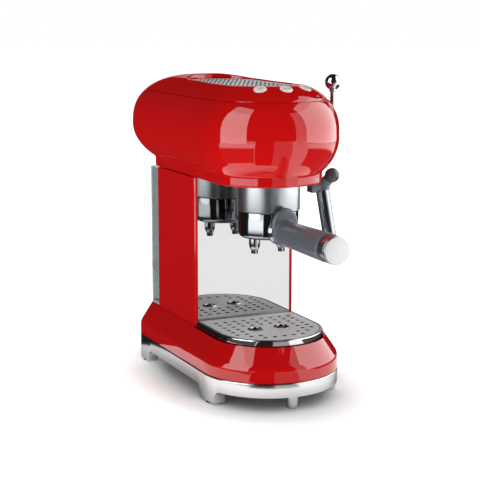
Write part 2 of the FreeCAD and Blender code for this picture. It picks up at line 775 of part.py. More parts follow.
# Head: upright collar, bulge below the widest line and dome above it
def head_half_at(z, skin):
    """Half-width of the head at a height, with a skin taken off."""
    if z < s.wide_z:
        radius = s.belly_radius - skin
        tall = (s.wide_z - s.collar_top) * s.belly_reach * radius / s.belly_radius
        return s.head_half - s.belly_radius + radius * math.sqrt(1 - ((s.wide_z - z) / tall) ** 2)
    rise = (z - s.wide_z) / (s.crown_z - skin - s.wide_z)
    return (s.head_half - skin) * (1 - rise**s.dome_power) ** (1 / s.dome_power)


def dome_height(half, skin):
    """Height of the dome where it has a half-width."""
    share = (half / (s.head_half - skin)) ** s.dome_power
    return s.wide_z + (s.crown_z - skin - s.wide_z) * (1 - share) ** (1 / s.dome_power)


def head_rear_at(z, skin):
    """Rear end of the head at a height, with a skin taken off."""
    inset = s.head_half - skin - head_half_at(z, skin)
    return s.head_rear - skin - inset * (s.rear_draw if z < s.wide_z else 1)


def head_wire(z, skin):
    half = head_half_at(z, skin)
    corner = s.head_corner * half / s.head_half
    return plan_wire(half, s.head_y, head_rear_at(z, skin), corner, z)


def spread(low, high, steps):
    return [low + (high - low) * k / steps for k in range(steps + 1)]


def head_bulge(skin, low):
    """Solid of the head below the seam, from a low level up."""
    heights = spread(s.collar_top, s.wide_z, 4) + spread(s.wide_z, s.seam_z, 4)[1:]
    bulge = Part.makeLoft([head_wire(z, skin) for z in heights], True)
    collar = Part.Face(head_wire(s.collar_top, skin)).extrude(V(0, 0, low - s.collar_top))
    return bulge.fuse(collar)


def head_dome(skin):
    """Solid of the head above the seam, closed by a small flat crown."""
    crown_half = 12
    halves = spread(head_half_at(s.seam_z, skin), crown_half, 7)
    wires = [head_wire(dome_height(half, skin), skin) for half in halves]
    return Part.makeLoft(wires, True)


def lever_slot():
    """Slot that the steam lever's stalk tips forward in."""
    half = s.lever_stalk + 2 * s.clearance
    reach = s.lever_reach - s.lever_ball
    centre = V(lever_x, lever_y, lever_z)
    upright = slab(
        lever_x - half, lever_x + half, lever_y - half, lever_y + half, lever_z, lever_z + reach
    )
    corners = [centre + V(-half, half, 0)]
    steps = spread(0, math.radians(s.lever_slot_turn), 6)
    for turn in steps:
        corners.append(centre + V(-half, -reach * math.sin(turn), reach * math.cos(turn)))
    corners.append(centre + V(-half, -half, -half))
    corners.append(corners[0])
    fan = Part.Face(Part.makePolygon(corners)).extrude(V(2 * half, 0, 0))
    return fan.fuse(upright)


def head_shell():
    shell = head_bulge(0, s.neck_z).cut(head_bulge(s.head_wall, floor_top))
    shell = shell.cut(pin(s.group_radius + s.clearance, 0, s.group_y, 0, floor_top + 1))
    shell = shell.cut(
        slab(
            -well_half, well_half, s.well_front_y, chassis_back + s.clearance, s.neck_z - 1, floor_top + 1
        )
    )
    shell = shell.cut(pin(s.steam_pipe + s.bolt_play, steam_x, wand_y, 0, floor_top + 1))
    return shell.cut(lever_slot())


node("head_shell", modelled("bulge", head_shell()))


# Buttons lie on a ring round the centre of the head's round front, square to the dome
button_z = dome_height(s.button_ring, 0)
slope_step = 0.01
button_tilt = math.atan2(
    dome_height(s.button_ring - slope_step, 0) - dome_height(s.button_ring + slope_step, 0), 2 * slope_step
)
BUTTONS = {"one_cup_button": -1, "two_cup_button": 0, "steam_button": 1}


def button_place(step):
    """Frame of a button: origin on the dome's surface and Z outwards."""
    turn = math.radians(s.button_turn * step)
    out = V(math.sin(turn), -math.cos(turn), 0)
    spot = V(0, s.head_y, button_z) + out * s.button_ring
    normal = out * math.sin(button_tilt) + V(0, 0, math.cos(button_tilt))
    return FreeCAD.Placement(spot, FreeCAD.Rotation(V(0, 0, 1), normal))


def at_button(step, radius, low, high):
    """Cylinder square to the dome at a button."""
    solid = Part.makeCylinder(radius, high - low, V(0, 0, low))
    solid.Placement = button_place(step)
    return solid


guide_inner = s.button_radius + s.clearance
guide_outer = guide_inner + s.button_guide_wall
guide_top = s.head_wall / 2


def top_cover():
    dome = head_dome(0)
    cover = dome.cut(head_dome(s.head_wall))
    tub_low = s.recess_floor - s.head_wall
    tub = prism(
        s.recess_half + s.head_wall,
        s.recess_y,
        s.recess_rear + s.head_wall,
        s.recess_half,
        tub_low,
        FAR,
    )
    cover = cover.fuse(tub.common(dome))
    for step in BUTTONS.values():
        cover = cover.fuse(at_button(step, guide_outer, -s.button_guide, -guide_top))
    for step in BUTTONS.values():
        cover = cover.cut(at_button(step, guide_inner, -s.button_guide - 1, s.button_guide))
    pocket = prism(s.recess_half, s.recess_y, s.recess_rear, s.recess_half - 1, s.recess_floor, FAR)
    return cover.cut(pocket)


def slot_wire(x, y, z):
    """Round-ended slot along X."""
    half = (s.slot_length - s.slot_width) / 2
    radius = s.slot_width / 2
    lower, upper = V(0, -radius, 0), V(0, radius, 0)
    left, right = V(x - half, y, z), V(x + half, y, z)
    edges = [
        Part.LineSegment(left + lower, right + lower),
        Part.Arc(right + lower, right + V(radius, 0, 0), right + upper),
        Part.LineSegment(right + upper, left + upper),
        Part.Arc(left + upper, left - V(radius, 0, 0), left + lower),
    ]
    return Part.Wire([edge.toShape() for edge in edges])


def cup_warmer_grid():
    half = s.recess_half - s.clearance
    rear = s.recess_rear - s.clearance
    wires = [plan_wire(half, s.recess_y, rear, half - 1, s.recess_floor)]
    margin = s.slot_length / 2 + s.slot_width
    centre_rear = rear - half
    rows = int((rear - s.recess_y + half) / s.slot_rows)
    columns = int(half / s.slot_pitch) + 1
    for i in range(rows + 1):
        y = rear - margin - i * s.slot_rows
        shift = s.slot_pitch / 2 * (i % 2)
        for j in range(-columns, columns + 1):
            x = j * s.slot_pitch + shift
            behind = y - centre_rear
            inside = in_plan(x, y, half - margin, s.recess_y, rear)
            if inside and (behind < 0 or math.hypot(x, behind) < half - margin):
                wires.append(slot_wire(x, y, s.recess_floor))
    return Part.makeFace(wires, "Part::FaceMakerBullseye").extrude(V(0, 0, s.warmer_thick))


node("top_cover", modelled("dome", top_cover()))
node("cup_warmer_grid", modelled("warmer_plate", cup_warmer_grid()))
for label, step in BUTTONS.items():
    cap = turned(
        label + "_cap",
        [
            ("0", "-button_depth"),
            ("button_radius", "-button_depth"),
            ("button_radius", "button_proud - 0.6"),
            ("button_radius - 0.6", "button_proud"),
            ("0", "button_proud"),
        ],
    )
    for axis in "xyz":
        cap.setExpression("Placement.Base." + axis, None)
    cap.Placement = button_place(step)
    node(label, cap)
switches = [
    at_button(step, guide_outer, -s.button_guide - s.button_switch, -s.button_guide)
    for step in (-1, 0, 1)
]
node("button_switches", modelled("switch_set", Part.makeCompound(switches)))


# Plate inside the head carries group, thermoblock and steam valve
def head_plate():
    half = head_half_at(s.collar_top, s.head_wall)
    rear = head_rear_at(s.collar_top, s.head_wall) - s.clearance
    corner = s.head_corner * half / s.head_half
    plate = prism(half - s.clearance, s.head_y, rear, corner, floor_top, head_deck)
    plate = plate.cut(
        slab(-well_half, well_half, s.well_front_y, s.chassis_y - 1, floor_top - 1, FAR)
    )
    plate = plate.cut(pin(s.water_bore, 0, s.group_y, 0, FAR))
    plate = plate.cut(pin(s.steam_pipe + s.bolt_play, steam_x, wand_y, 0, FAR))
    for x, y in bolt_spots:
        plate = plate.cut(pin(s.screw_radius + s.bolt_play, x, y, 0, FAR))
    return plate


node("head_plate", modelled("deck", head_plate()))


# Group: bell with a bayonet lip, gasket, shower screen and bolts
def group_tools():
    tools = []
    for side in (0, 180):
        notch = slab(0, s.bayonet_radius, -s.ear_width / 2 - 1, s.ear_width / 2 + 1, 0, s.lip_tall + 1)
        notch.rotate(V(), V(0, 0, 1), side - 45)
        notch.translate(V(0, s.group_y, s.group_bottom - 0.5))
        tools.append(notch)
    for x, y in bolt_spots:
        tools.append(pin(s.screw_radius + s.bolt_play, x, y, floor_top - s.bolt_bite - 1, FAR))
    return modelled("group_notches", Part.makeCompound(tools))


bell = turned(
    "bell",
    [
        ("water_bore", "group_ceiling"),
        ("bayonet_radius", "group_ceiling"),
        ("bayonet_radius", "group_bottom + lip_tall"),
        ("lip_radius", "group_bottom + lip_tall"),
        ("lip_radius", "group_bottom"),
        ("group_radius - 0.8", "group_bottom"),
        ("group_radius", "group_bottom + 0.8"),
        ("group_radius", "neck_z + head_wall"),
        ("water_bore", "neck_z + head_wall"),
    ],
    y="group_y",
)
node("group_head", carve("group", bell, [group_tools()]))
node(
    "group_gasket",
    turned(
        "gasket",
        [
            ("gasket_inner", "group_ceiling - gasket_tall"),
            ("bayonet_radius - clearance", "group_ceiling - gasket_tall"),
            ("bayonet_radius - clearance", "group_ceiling"),
            ("gasket_inner", "group_ceiling"),
        ],
        y="group_y",
    ),
)
node(
    "shower_screen",
    turned(
        "screen",
        [
            ("shower_screw + bolt_play", "group_ceiling - screen_thick"),
            ("screen_radius", "group_ceiling - screen_thick"),
            ("screen_radius", "group_ceiling"),
            ("shower_screw + bolt_play", "group_ceiling"),
        ],
        y="group_y",
    ),
)
node(
    "shower_screw",
    turned(
        "screen_screw",
        [
            ("0", "group_ceiling - screen_thick - 2"),
            ("shower_screw_head", "group_ceiling - screen_thick - 2"),
            ("shower_screw_head", "group_ceiling - screen_thick"),
            ("shower_screw", "group_ceiling - screen_thick"),
            ("shower_screw", "group_ceiling - screen_thick + shower_screw_long"),
            ("0", "group_ceiling - screen_thick + shower_screw_long"),
        ],
        y="group_y",
    ),
)
node(
    "group_bolts",
    gather(
        "bolt_set",
        [
            turned(
                f"bolt_{k}",
                [
                    ("0", "-head_plate_thick - bolt_bite"),
                    ("screw_radius", "-head_plate_thick - bolt_bite"),
                    ("screw_radius", "0"),
                    ("screw_head", "0"),
                    ("screw_head", "screw_head_tall"),
                    ("0", "screw_head_tall"),
                ],
                x=f"bolt_ring * cos({45 + 90 * k})",
                y=f"group_y + bolt_ring * sin({45 + 90 * k})",
                z="neck_z + head_wall + head_plate_thick",
            )
            for k in range(4)
        ],
    ),
)
block_low = "neck_z + head_wall + head_plate_thick"
block_top = f"{block_low} + block_foot_tall + block_tall"
node(
    "thermoblock",
    turned(
        "heater",
        [
            ("0", block_low),
            ("block_foot", block_low),
            ("block_foot", f"{block_low} + block_foot_tall"),
            (BLOCK_RADIUS, f"{block_low} + block_foot_tall"),
            (BLOCK_RADIUS, f"{block_top} - 3"),
            (f"{BLOCK_RADIUS} - 3", block_top),
            ("0", block_top),
        ],
        y="group_y",
    ),
)
node(
    "thermostats",
    gather(
        "thermostat_set",
        [
            rod(
                f"thermostat_{k}",
                "thermostat_radius",
                "thermostat_tall",
                f"{side} * {BLOCK_RADIUS} / 2",
                "group_y",
                block_top,
            )
            for k, side in enumerate((-1, 1))
        ],
    ),
)


# Portafilter: turned cup with ears and stem, basket, spouts and handle
def filter_cup():
    cup = turned(
        "cup",
        [
            ("0", "filter_bottom"),
            ("filter_radius", "filter_bottom"),
            ("filter_radius", "group_bottom - clearance"),
            ("lip_radius - clearance", "group_bottom - clearance"),
            ("lip_radius - clearance", "filter_rim"),
            ("lip_radius - clearance - filter_wall", "filter_rim"),
            ("lip_radius - clearance - filter_wall", "filter_bottom + filter_floor"),
            ("0", "filter_bottom + filter_floor"),
        ],
        y="group_y",
    )
    soft = rounded("cup_round", cup, s.filter_round, lambda edge: level_circle(edge, s.filter_bottom))
    ear_span = "bayonet_radius - clearance"
    ear_low = "group_bottom + lip_tall + clearance"
    ear_inner = "lip_radius - clearance - filter_wall * 0.8"
    ears = [
        block(
            "ear_right",
            (ear_inner, ear_span),
            ("group_y - ear_width / 2", "group_y + ear_width / 2"),
            (ear_low, f"{ear_low} + ear_tall"),
        ),
        block(
            "ear_left",
            (f"-({ear_span})", f"-({ear_inner})"),
            ("group_y - ear_width / 2", "group_y + ear_width / 2"),
            (ear_low, f"{ear_low} + ear_tall"),
        ),
    ]
    disc = rod("ear_disc", ear_span, "ear_tall", "0", "group_y", ear_low)
    trimmed = []
    for ear in ears:
        round_ear = doc.addObject("Part::Common", ear.Name + "_round")
        round_ear.Base = ear
        round_ear.Tool = disc if not trimmed else rod(
            "ear_disc_left",
            ear_span,
            "ear_tall",
            "0",
            "group_y",
            ear_low,
        )
        trimmed.append(round_ear)
    stem = rod(
        "stem",
        "stem_radius",
        "stem_end - filter_radius + 4",
        "0",
        "group_y - filter_radius + 4",
        "handle_z",
        "front",
    )
    outlets = [
        rod(
            f"outlet_{k}",
            "spout_tip",
            "filter_floor + 2",
            f"{side} * spout_x",
            "group_y",
            "filter_bottom - 1",
        )
        for k, side in enumerate((-1, 1))
    ]
    return carve("filter_holder", join("filter_holder_blank", [soft, stem] + trimmed), outlets)


node("portafilter_body", filter_cup())
basket_outer = "lip_radius - clearance - filter_wall - clearance"
node(
    "filter_basket",
    turned(
        "basket",
        [
            ("0", "basket_bottom"),
            (basket_outer, "basket_bottom"),
            (basket_outer, "filter_rim"),
            ("lip_radius - clearance", "filter_rim"),
            ("lip_radius - clearance", "filter_rim + basket_rim"),
            (f"{basket_outer} - basket_wall", "filter_rim + basket_rim"),
            (f"{basket_outer} - basket_wall", "basket_bottom + basket_wall"),
            ("0", "basket_bottom + basket_wall"),
        ],
        y="group_y",
    ),
)
node(
    "spouts",
    gather(
        "spout_pair",
        [
            turned(
                f"spout_{k}",
                [
                    ("spout_tip - 1", "spout_bottom"),
                    ("spout_tip", "spout_bottom"),
                    ("spout_tip", "spout_step"),
                    ("spout_tip + 0.8", "spout_step + 0.6"),
                    ("spout_radius", "spout_shoulder"),
                    ("spout_radius", "filter_bottom"),
                    ("spout_tip - 1", "filter_bottom"),
                ],
                x=f"{side} * spout_x",
                y="group_y",
            )
            for k, side in enumerate((-1, 1))
        ],
    ),
)
collar_bore = "stem_radius + bolt_play"
node(
    "handle_collar",
    turned(
        "stem_collar",
        [
            (collar_bore, "0"),
            ("collar_radius - 1", "0"),
            ("collar_radius", "1"),
            ("collar_radius", "collar_long"),
            (collar_bore, "collar_long"),
        ],
        y="group_y - stem_end + collar_long",
        z="handle_z",
        along="front",
    ),
)
stem_tip = s.group_y - s.stem_end


def handle_grip():
    """Grip that swells towards its end, with an upright oval guard at the stem."""
    rim = s.guard_thick * 0.45
    flat = Part.Ellipse(V(0, 0, 0), s.guard_tall, s.guard_half).toShape()
    guard = Part.Face(Part.Wire(flat)).extrude(V(0, 0, s.guard_thick))
    guard = guard.makeFillet(rim, guard.Edges)
    guard.rotate(V(), V(0, 0, 1), 90)
    guard.rotate(V(), V(1, 0, 0), 90)
    guard.translate(V(0, stem_tip, s.guard_z))
    axis = V(0, -1, 0)
    start = V(0, stem_tip - s.guard_thick / 2, s.handle_z)
    grip = Part.makeCone(s.grip_start, s.grip_end, s.grip_long - s.guard_thick / 2, start, axis)
    return guard.fuse(grip).removeSplitter()


node("handle_grip", modelled("grip", handle_grip()))
node(
    "handle_cap",
    turned(
        "grip_cap",
        [
            ("0", "0"),
            ("cap_groove_radius", "0"),
            ("cap_groove_radius", "cap_groove"),
            ("cap_radius - 0.5", "cap_groove"),
            ("cap_radius", "cap_groove + 0.5"),
            ("cap_radius", "cap_groove + cap_long - cap_round"),
            ("cap_radius - cap_round / 3", "cap_groove + cap_long - cap_round / 3"),
            ("cap_radius - cap_round", "cap_groove + cap_long"),
            ("0", "cap_groove + cap_long"),
        ],
        y="group_y - stem_end - grip_long",
        z="handle_z",
        along="front",
    ),
)


# Steam lever on the spindle of the steam valve
valve_right = f"{LEVER_X} - lever_hub_in"
lever_hub = rod("lever_boss", "lever_hub", "lever_hub_in + lever_hub_out", valve_right, LEVER_Y, LEVER_Z, "x")
lever_spindle = rod(
    "lever_spindle",
    "lever_spindle",
    "valve_length",
    f"{valve_right} - valve_length + 1",
    LEVER_Y,
    LEVER_Z,
    "x",
)
lever_stalk = rod(
    "lever_stalk",
    "lever_stalk",
    "lever_reach - lever_ball + lever_ball_hole",
    LEVER_X,
    LEVER_Y,
    LEVER_Z,
)
node("lever_arm", join("arm", [lever_hub, lever_spindle, lever_stalk]))
ball = doc.addObject("Part::Sphere", "ball_blank")
ball.setExpression("Radius", formula("lever_ball"))
place(ball, LEVER_X, LEVER_Y, f"{LEVER_Z} + lever_reach")
ball_hole = rod(
    "ball_hole",
    "lever_stalk + running_fit",
    "lever_ball + lever_ball_hole",
    LEVER_X,
    LEVER_Y,
    f"{LEVER_Z} + lever_reach - 2 * lever_ball",
)
node("lever_ball", carve("ball", ball, [ball_hole]))
valve_left = f"{valve_right} - clearance - valve_length"
valve_block = block(
    "valve_block",
    (valve_left, f"{valve_right} - clearance"),
    (f"{LEVER_Y} - valve_half", f"{LEVER_Y} + valve_reach"),
    (f"{LEVER_Z} - valve_half", f"{LEVER_Z} + valve_half"),
)
valve_leg = block(
    "valve_leg",
    (valve_left, f"{valve_left} + valve_leg"),
    (f"{LEVER_Y} + valve_leg_back", f"{LEVER_Y} + valve_leg_back + valve_leg"),
    (block_low, LEVER_Z),
)
valve_bore = rod(
    "valve_bore",
    "lever_spindle + running_fit",
    "valve_length + 2",
    f"{valve_left} - 1",
    LEVER_Y,
    LEVER_Z,
    "x",
)
node("steam_valve", carve("valve", join("valve_blank", [valve_block, valve_leg]), [valve_bore]))
node(
    "steam_pipe",
    rod("steam_line", "steam_pipe", f"{LEVER_Z} - valve_half - neck_z", STEAM_X, WAND_Y, "neck_z"),
)


# Steam wand: swivel pinned in a socket under the head, sleeve over the steam pipe
lean = V(math.tan(math.radians(s.wand_out)), -math.tan(math.radians(s.wand_forward)), -1)
lean.normalize()
wand_middle = V(wand_x + s.wand_collar + s.clearance, wand_y, wand_z)


def along_wand(name, radius, low, high):
    """Cylinder down the sleeve's line, between two distances from the swivel axis."""
    item = doc.addObject("Part::Cylinder", name)
    item.setExpression("Radius", formula(radius))
    item.Height = high - low
    item.Placement = FreeCAD.Placement(wand_middle + lean * low, FreeCAD.Rotation(V(0, 0, 1), lean))
    return item


def wand_swivel():
    barrel = rod("barrel", "wand_barrel", "wand_barrel_long", WAND_X, WAND_Y, WAND_Z, "x")
    trunnion = rod(
        "trunnion", "wand_pin", "wand_pin_long + 1", f"{WAND_X} - wand_pin_long", WAND_Y, WAND_Z, "x"
    )
    collar = along_wand("wand_neck", "wand_collar", 0, s.wand_collar_long)
    knob = doc.addObject("Part::Sphere", "knob")
    knob.setExpression("Radius", formula("knob_radius"))
    place(knob, f"{WAND_X} + knob_out", f"{WAND_Y} - knob_front", f"{WAND_Z} + knob_rise")
    knob_spot = V(wand_x + s.knob_out, wand_y - s.knob_front, wand_z + s.knob_rise)
    arm_line = knob_spot - wand_middle
    arm = doc.addObject("Part::Cone", "knob_arm")
    arm.setExpression("Radius1", formula("wand_barrel - 1"))
    arm.setExpression("Radius2", formula("knob_radius - 0.3"))
    arm.Height = arm_line.Length
    arm.Placement = FreeCAD.Placement(wand_middle, FreeCAD.Rotation(V(0, 0, 1), arm_line))
    return join("swivel", [barrel, trunnion, collar, knob, arm])


sleeve_end = s.wand_collar_long + s.wand_sleeve_long
node("wand_swivel", wand_swivel())
node(
    "wand_sleeve",
    carve(
        "sleeve",
        along_wand("sleeve_blank", "wand_sleeve", s.wand_collar_long, sleeve_end),
        [along_wand("sleeve_bore", "wand_pipe + bolt_play", 0, sleeve_end + 1)],
    ),
)
node("wand_pipe", along_wand("pipe", "wand_pipe", s.wand_collar_long, sleeve_end + s.wand_tip))
socket_blank = block(
    "socket_blank",
    (f"{WAND_X} - clearance - wand_socket_long", f"{WAND_X} - clearance"),
    (f"{WAND_Y} - wand_socket_half", f"{WAND_Y} + wand_socket_half"),
    (f"{WAND_Z} - wand_socket_half", "neck_z"),
)
socket_bore = rod(
    "socket_bore",
    "wand_pin + running_fit",
    "wand_socket_long + 2",
    f"{WAND_X} - wand_socket_long - 1",
    WAND_Y,
    WAND_Z,
    "x",
)
node("wand_socket", carve("socket", socket_blank, [socket_bore]))


# Water tank: wide behind the column, narrow between its walls, open at the top
def water_tank():
    inner_half = "column_half - column_wall - tank_gap"
    outer_half = "column_half - tank_gap"
    low = "skirt_top + clearance"
    tail = block(
        "tank_tail",
        (f"-({outer_half})", outer_half),
        ("column_rear + tank_gap", "tank_rear"),
        (low, "tank_top"),
    )
    soft_tail = rounded(
        "tank_tail_round",
        tail,
        s.tank_round,
        lambda edge: edge.BoundBox.ZLength > 1 and abs(edge.BoundBox.YMin - s.tank_rear) < 0.01,
    )
    nose = block(
        "tank_nose",
        (f"-({inner_half})", inner_half),
        ("tank_front", "tank_rear - tank_round"),
        (low, "tank_top"),
    )
    spigot = rod("spigot", "spigot_radius", "spigot_long + 1", "0", "tank_front + 1", "spigot_z", "front")
    blank = join("tank_blank", [soft_tail, nose, spigot])
    wall_half = f"{inner_half} - tank_wall"
    hollow = block(
        "tank_hollow",
        (f"-({wall_half})", wall_half),
        ("tank_front + tank_wall", "tank_rear - tank_round"),
        (f"{low} + tank_wall", "tank_top + 1"),
    )
    tail_half = f"{outer_half} - tank_wall"
    tail_hollow = rounded(
        "tank_tail_hollow",
        block(
            "tank_tail_space",
            (f"-({tail_half})", tail_half),
            ("column_rear + tank_gap + tank_wall", "tank_rear - tank_wall"),
            (f"{low} + tank_wall", "tank_top + 1"),
        ),
        s.tank_round - s.tank_wall,
        lambda edge: edge.BoundBox.ZLength > 1 and abs(edge.BoundBox.YMin - s.tank_rear + s.tank_wall) < 0.01,
    )
    outlet = rod(
        "tank_outlet",
        "spigot_radius - 1.5",
        "spigot_long + tank_wall + 2",
        "0",
        "tank_front + tank_wall + 1",
        "spigot_z",
        "front",
    )
    marks = []
    for k, side in enumerate((-1, 1)):
        mark = doc.addObject("Part::Cylinder", f"grip_mark_{k}")
        mark.setExpression("Radius", formula("grip_mark"))
        mark.setExpression("Height", formula("2 * grip_mark_depth"))
        mark.Angle = 180
        place(mark, f"{side} * ({outer_half}) - grip_mark_depth", "grip_mark_y", "grip_mark_z", "x")
        half_turn = FreeCAD.Rotation(V(1, 0, 0), -90)
        mark.Placement = FreeCAD.Placement(mark.Placement.Base, half_turn.multiply(ALONG["x"]))
        marks.append(mark)
    return carve("tank", blank, [hollow, tail_hollow, outlet] + marks)


node("water_tank", water_tank())
socket_bore_radius = "spigot_radius + clearance"
node(
    "tank_socket",
    turned(
        "inlet_socket",
        [
            (socket_bore_radius, "0"),
            (f"{socket_bore_radius} + socket_wall", "0"),
            (f"{socket_bore_radius} + socket_wall", "socket_long"),
            ("hose_radius - 1", "socket_long"),
            ("hose_radius - 1", "socket_long - 2"),
            (socket_bore_radius, "socket_long - 2"),
        ],
        y="chassis_y",
        z="spigot_z",
        along="front",
    ),
)


# Pump on its bracket, hose and pipe, control board
pump_middle = "pump_low + pump_tall / 2"
pump_pieces = [
    block(
        "coil",
        ("-pump_half", "pump_half"),
        ("pump_y - pump_half", "pump_y + pump_half"),
        ("pump_low", "pump_low + pump_tall"),
    ),
    rod("pump_inlet", "pump_neck", "pump_neck_tall", "0", "pump_y", "pump_low - pump_neck_tall"),
    rod("pump_outlet", "pump_neck", "pump_neck_tall", "0", "pump_y", "pump_low + pump_tall"),
]
node("pump", join("pump_body", pump_pieces))
node(
    "pump_bracket",
    block(
        "pump_mount",
        ("-bracket_half", "bracket_half"),
        ("pump_y + pump_half", "chassis_y"),
        (f"{pump_middle} - bracket_tall / 2", f"{pump_middle} + bracket_tall / 2"),
    ),
)


def bent_tube(radius, start, corner, end, bend):
    """Round tube with one right-angled bend."""
    first = (corner - start).normalize()
    last = (end - corner).normalize()
    middle = corner + (last - first) * bend * (1 - math.sqrt(0.5))
    path = Part.Wire(
        [
            Part.LineSegment(start, corner - first * bend).toShape(),
            Part.Arc(corner - first * bend, middle, corner + last * bend).toShape(),
            Part.LineSegment(corner + last * bend, end).toShape(),
        ]
    )
    ring = Part.Wire(Part.Circle(start, first, radius).toShape())
    return path.makePipeShell([ring], True, False)


hose_start = V(0, s.chassis_y - s.socket_long, s.spigot_z)
hose_corner = V(0, s.pump_y, s.spigot_z)
hose_end = V(0, s.pump_y, s.pump_low - s.pump_neck_tall)
node("tank_hose", modelled("hose", bent_tube(s.hose_radius, hose_start, hose_corner, hose_end, s.hose_bend)))
pipe_z = head_deck + s.block_foot_tall + s.block_tall / 2
pipe_start = V(0, s.pump_y, s.pump_low + s.pump_tall + s.pump_neck_tall)
pipe_corner = V(0, s.pump_y, pipe_z)
pipe_end = V(0, s.group_y + block_radius + s.clearance, pipe_z)
node(
    "pressure_pipe",
    modelled("riser", bent_tube(s.pipe_radius, pipe_start, pipe_corner, pipe_end, s.pipe_bend)),
)
board_face = "chassis_y - standoff_long - board_thick"
board_pieces = [
    block(
        "board",
        (BOARD_X, f"{BOARD_X} + board_wide"),
        (board_face, "chassis_y - standoff_long"),
        ("board_low", "board_low + board_tall"),
    ),
    block(
        "relay",
        (f"{BOARD_X} + chip_margin", f"{BOARD_X} + board_wide / 2"),
        (f"{board_face} - chip_tall", board_face),
        ("board_low + board_tall / 2", "board_low + board_tall / 2 + chip_long"),
    ),
    block(
        "transformer",
        (f"{BOARD_X} + chip_margin", f"{BOARD_X} + board_wide - chip_margin"),
        (f"{board_face} - 2 * chip_tall", board_face),
        ("board_low + 3 * chip_margin", "board_low + 3 * chip_margin + chip_long"),
    ),
]
node("control_board", join("board_with_parts", board_pieces))
node(
    "board_standoffs",
    gather(
        "standoff_set",
        [
            rod(f"standoff_{k}", "standoff_radius", "standoff_long", x, "chassis_y - standoff_long", z, "y")
            for k, (x, z) in enumerate(
                (x, z)
                for x in (f"{BOARD_X} + standoff_inset", f"{BOARD_X} + board_wide - standoff_inset")
                for z in ("board_low + standoff_inset", "board_low + board_tall - standoff_inset")
            )
        ],
    ),
)


# Rear of the base: cord gland and power rocker
node(
    "cord_gland",
    turned(
        "gland",
        [
            ("gland_bore", "-gland_long"),
            ("gland_body", "-gland_long"),
            ("gland_body", "0"),
            ("gland_flange", "0"),
            ("gland_flange - 0.8", "gland_flange_thick"),
            ("gland_bore", "gland_flange_thick"),
        ],
        x="gland_x",
        y="base_rear",
        z="gland_z",
        along="y",
    ),
)
hole_half = "rocker_half + rocker_gap"
hole_tall = "rocker_half_tall + rocker_gap"


def centred(name, half_wide, half_tall, y_span):
    """Box round the rocker's middle."""
    return block(
        name,
        (f"rocker_x - ({half_wide})", f"rocker_x + ({half_wide})"),
        y_span,
        (f"gland_z - ({half_tall})", f"gland_z + ({half_tall})"),
    )


frame_pieces = [
    centred(
        "switch_flange",
        f"{hole_half} + switch_wall",
        f"{hole_tall} + switch_wall",
        ("base_rear", "base_rear + switch_flange"),
    ),
    centred(
        "switch_box",
        f"{hole_half} + switch_wall / 2",
        f"{hole_tall} + switch_wall / 2",
        ("base_rear - switch_depth", "base_rear + switch_flange"),
    ),
]
rocker_axis = "base_rear - switch_depth / 2"
frame_tools = [
    centred(
        "switch_hole",
        hole_half,
        hole_tall,
        ("base_rear - switch_depth + 1", "base_rear + switch_flange + 1"),
    ),
    rod(
        "pin_hole",
        "rocker_pin + running_fit",
        f"2 * ({hole_half} + switch_wall)",
        f"rocker_x - ({hole_half} + switch_wall)",
        rocker_axis,
        "gland_z",
        "x",
    ),
]
node("switch_frame", carve("switch_mount", join("switch_blank", frame_pieces), frame_tools))
rocker_cap = centred(
    "rocker_cap",
    "rocker_half",
    "rocker_half_tall",
    ("base_rear - switch_depth / 2 - rocker_back", "base_rear + switch_flange + rocker_proud"),
)
rocker_shaft = rod(
    "rocker_shaft",
    "rocker_pin",
    f"2 * ({hole_half} + switch_wall / 2 - bolt_play)",
    f"rocker_x - ({hole_half} + switch_wall / 2 - bolt_play)",
    rocker_axis,
    "gland_z",
    "x",
)
node("power_rocker", join("rocker", [rocker_cap, rocker_shaft]))

doc.recompute()
faults = [item.Name for item in doc.Objects if {"Invalid", "Error"} & set(item.State)]
for item in NODES:
    if item.Shape.isNull() or not item.Shape.isValid() or not item.Shape.Solids:
        faults.append(item.Label)
if faults:
    raise RuntimeError("failed pieces: " + ", ".join(faults))
os.makedirs("parts", exist_ok=True)
for item in NODES:
    item.Shape.exportStep(f"parts/{item.Label}.step")
print(len(NODES), "pieces written")
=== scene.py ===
"""Dresses a compact espresso machine: red enamel, bright metal, mirror panel and smoked tank."""

import json
import math

import bmesh
import bpy
from mathutils import Matrix, Vector


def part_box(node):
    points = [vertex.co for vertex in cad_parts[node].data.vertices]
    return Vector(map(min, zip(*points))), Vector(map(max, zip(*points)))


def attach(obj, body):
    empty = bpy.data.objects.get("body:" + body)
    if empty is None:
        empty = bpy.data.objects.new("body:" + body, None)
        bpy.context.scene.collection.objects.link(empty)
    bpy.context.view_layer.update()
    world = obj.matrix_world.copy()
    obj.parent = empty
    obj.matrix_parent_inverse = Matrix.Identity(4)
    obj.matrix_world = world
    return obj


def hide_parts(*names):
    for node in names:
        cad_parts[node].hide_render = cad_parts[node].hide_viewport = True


bl_info = {
    "name": "Espresso machine dressing",
    "version": (1, 0, 0),
    "blender": (4, 5, 0),
    "location": "View3D > Sidebar > Espresso",
    "description": "Finishes, smooth skins and stage for a compact espresso machine",
    "category": "Object",
}

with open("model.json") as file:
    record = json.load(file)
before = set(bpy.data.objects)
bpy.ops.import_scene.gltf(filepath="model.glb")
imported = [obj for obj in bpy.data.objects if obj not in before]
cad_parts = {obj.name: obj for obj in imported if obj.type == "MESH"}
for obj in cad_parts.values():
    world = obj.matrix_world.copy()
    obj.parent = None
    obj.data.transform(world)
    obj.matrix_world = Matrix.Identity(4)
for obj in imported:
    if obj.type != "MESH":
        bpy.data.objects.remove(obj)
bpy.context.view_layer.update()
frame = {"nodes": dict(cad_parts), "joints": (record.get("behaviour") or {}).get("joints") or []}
MM = 0.001

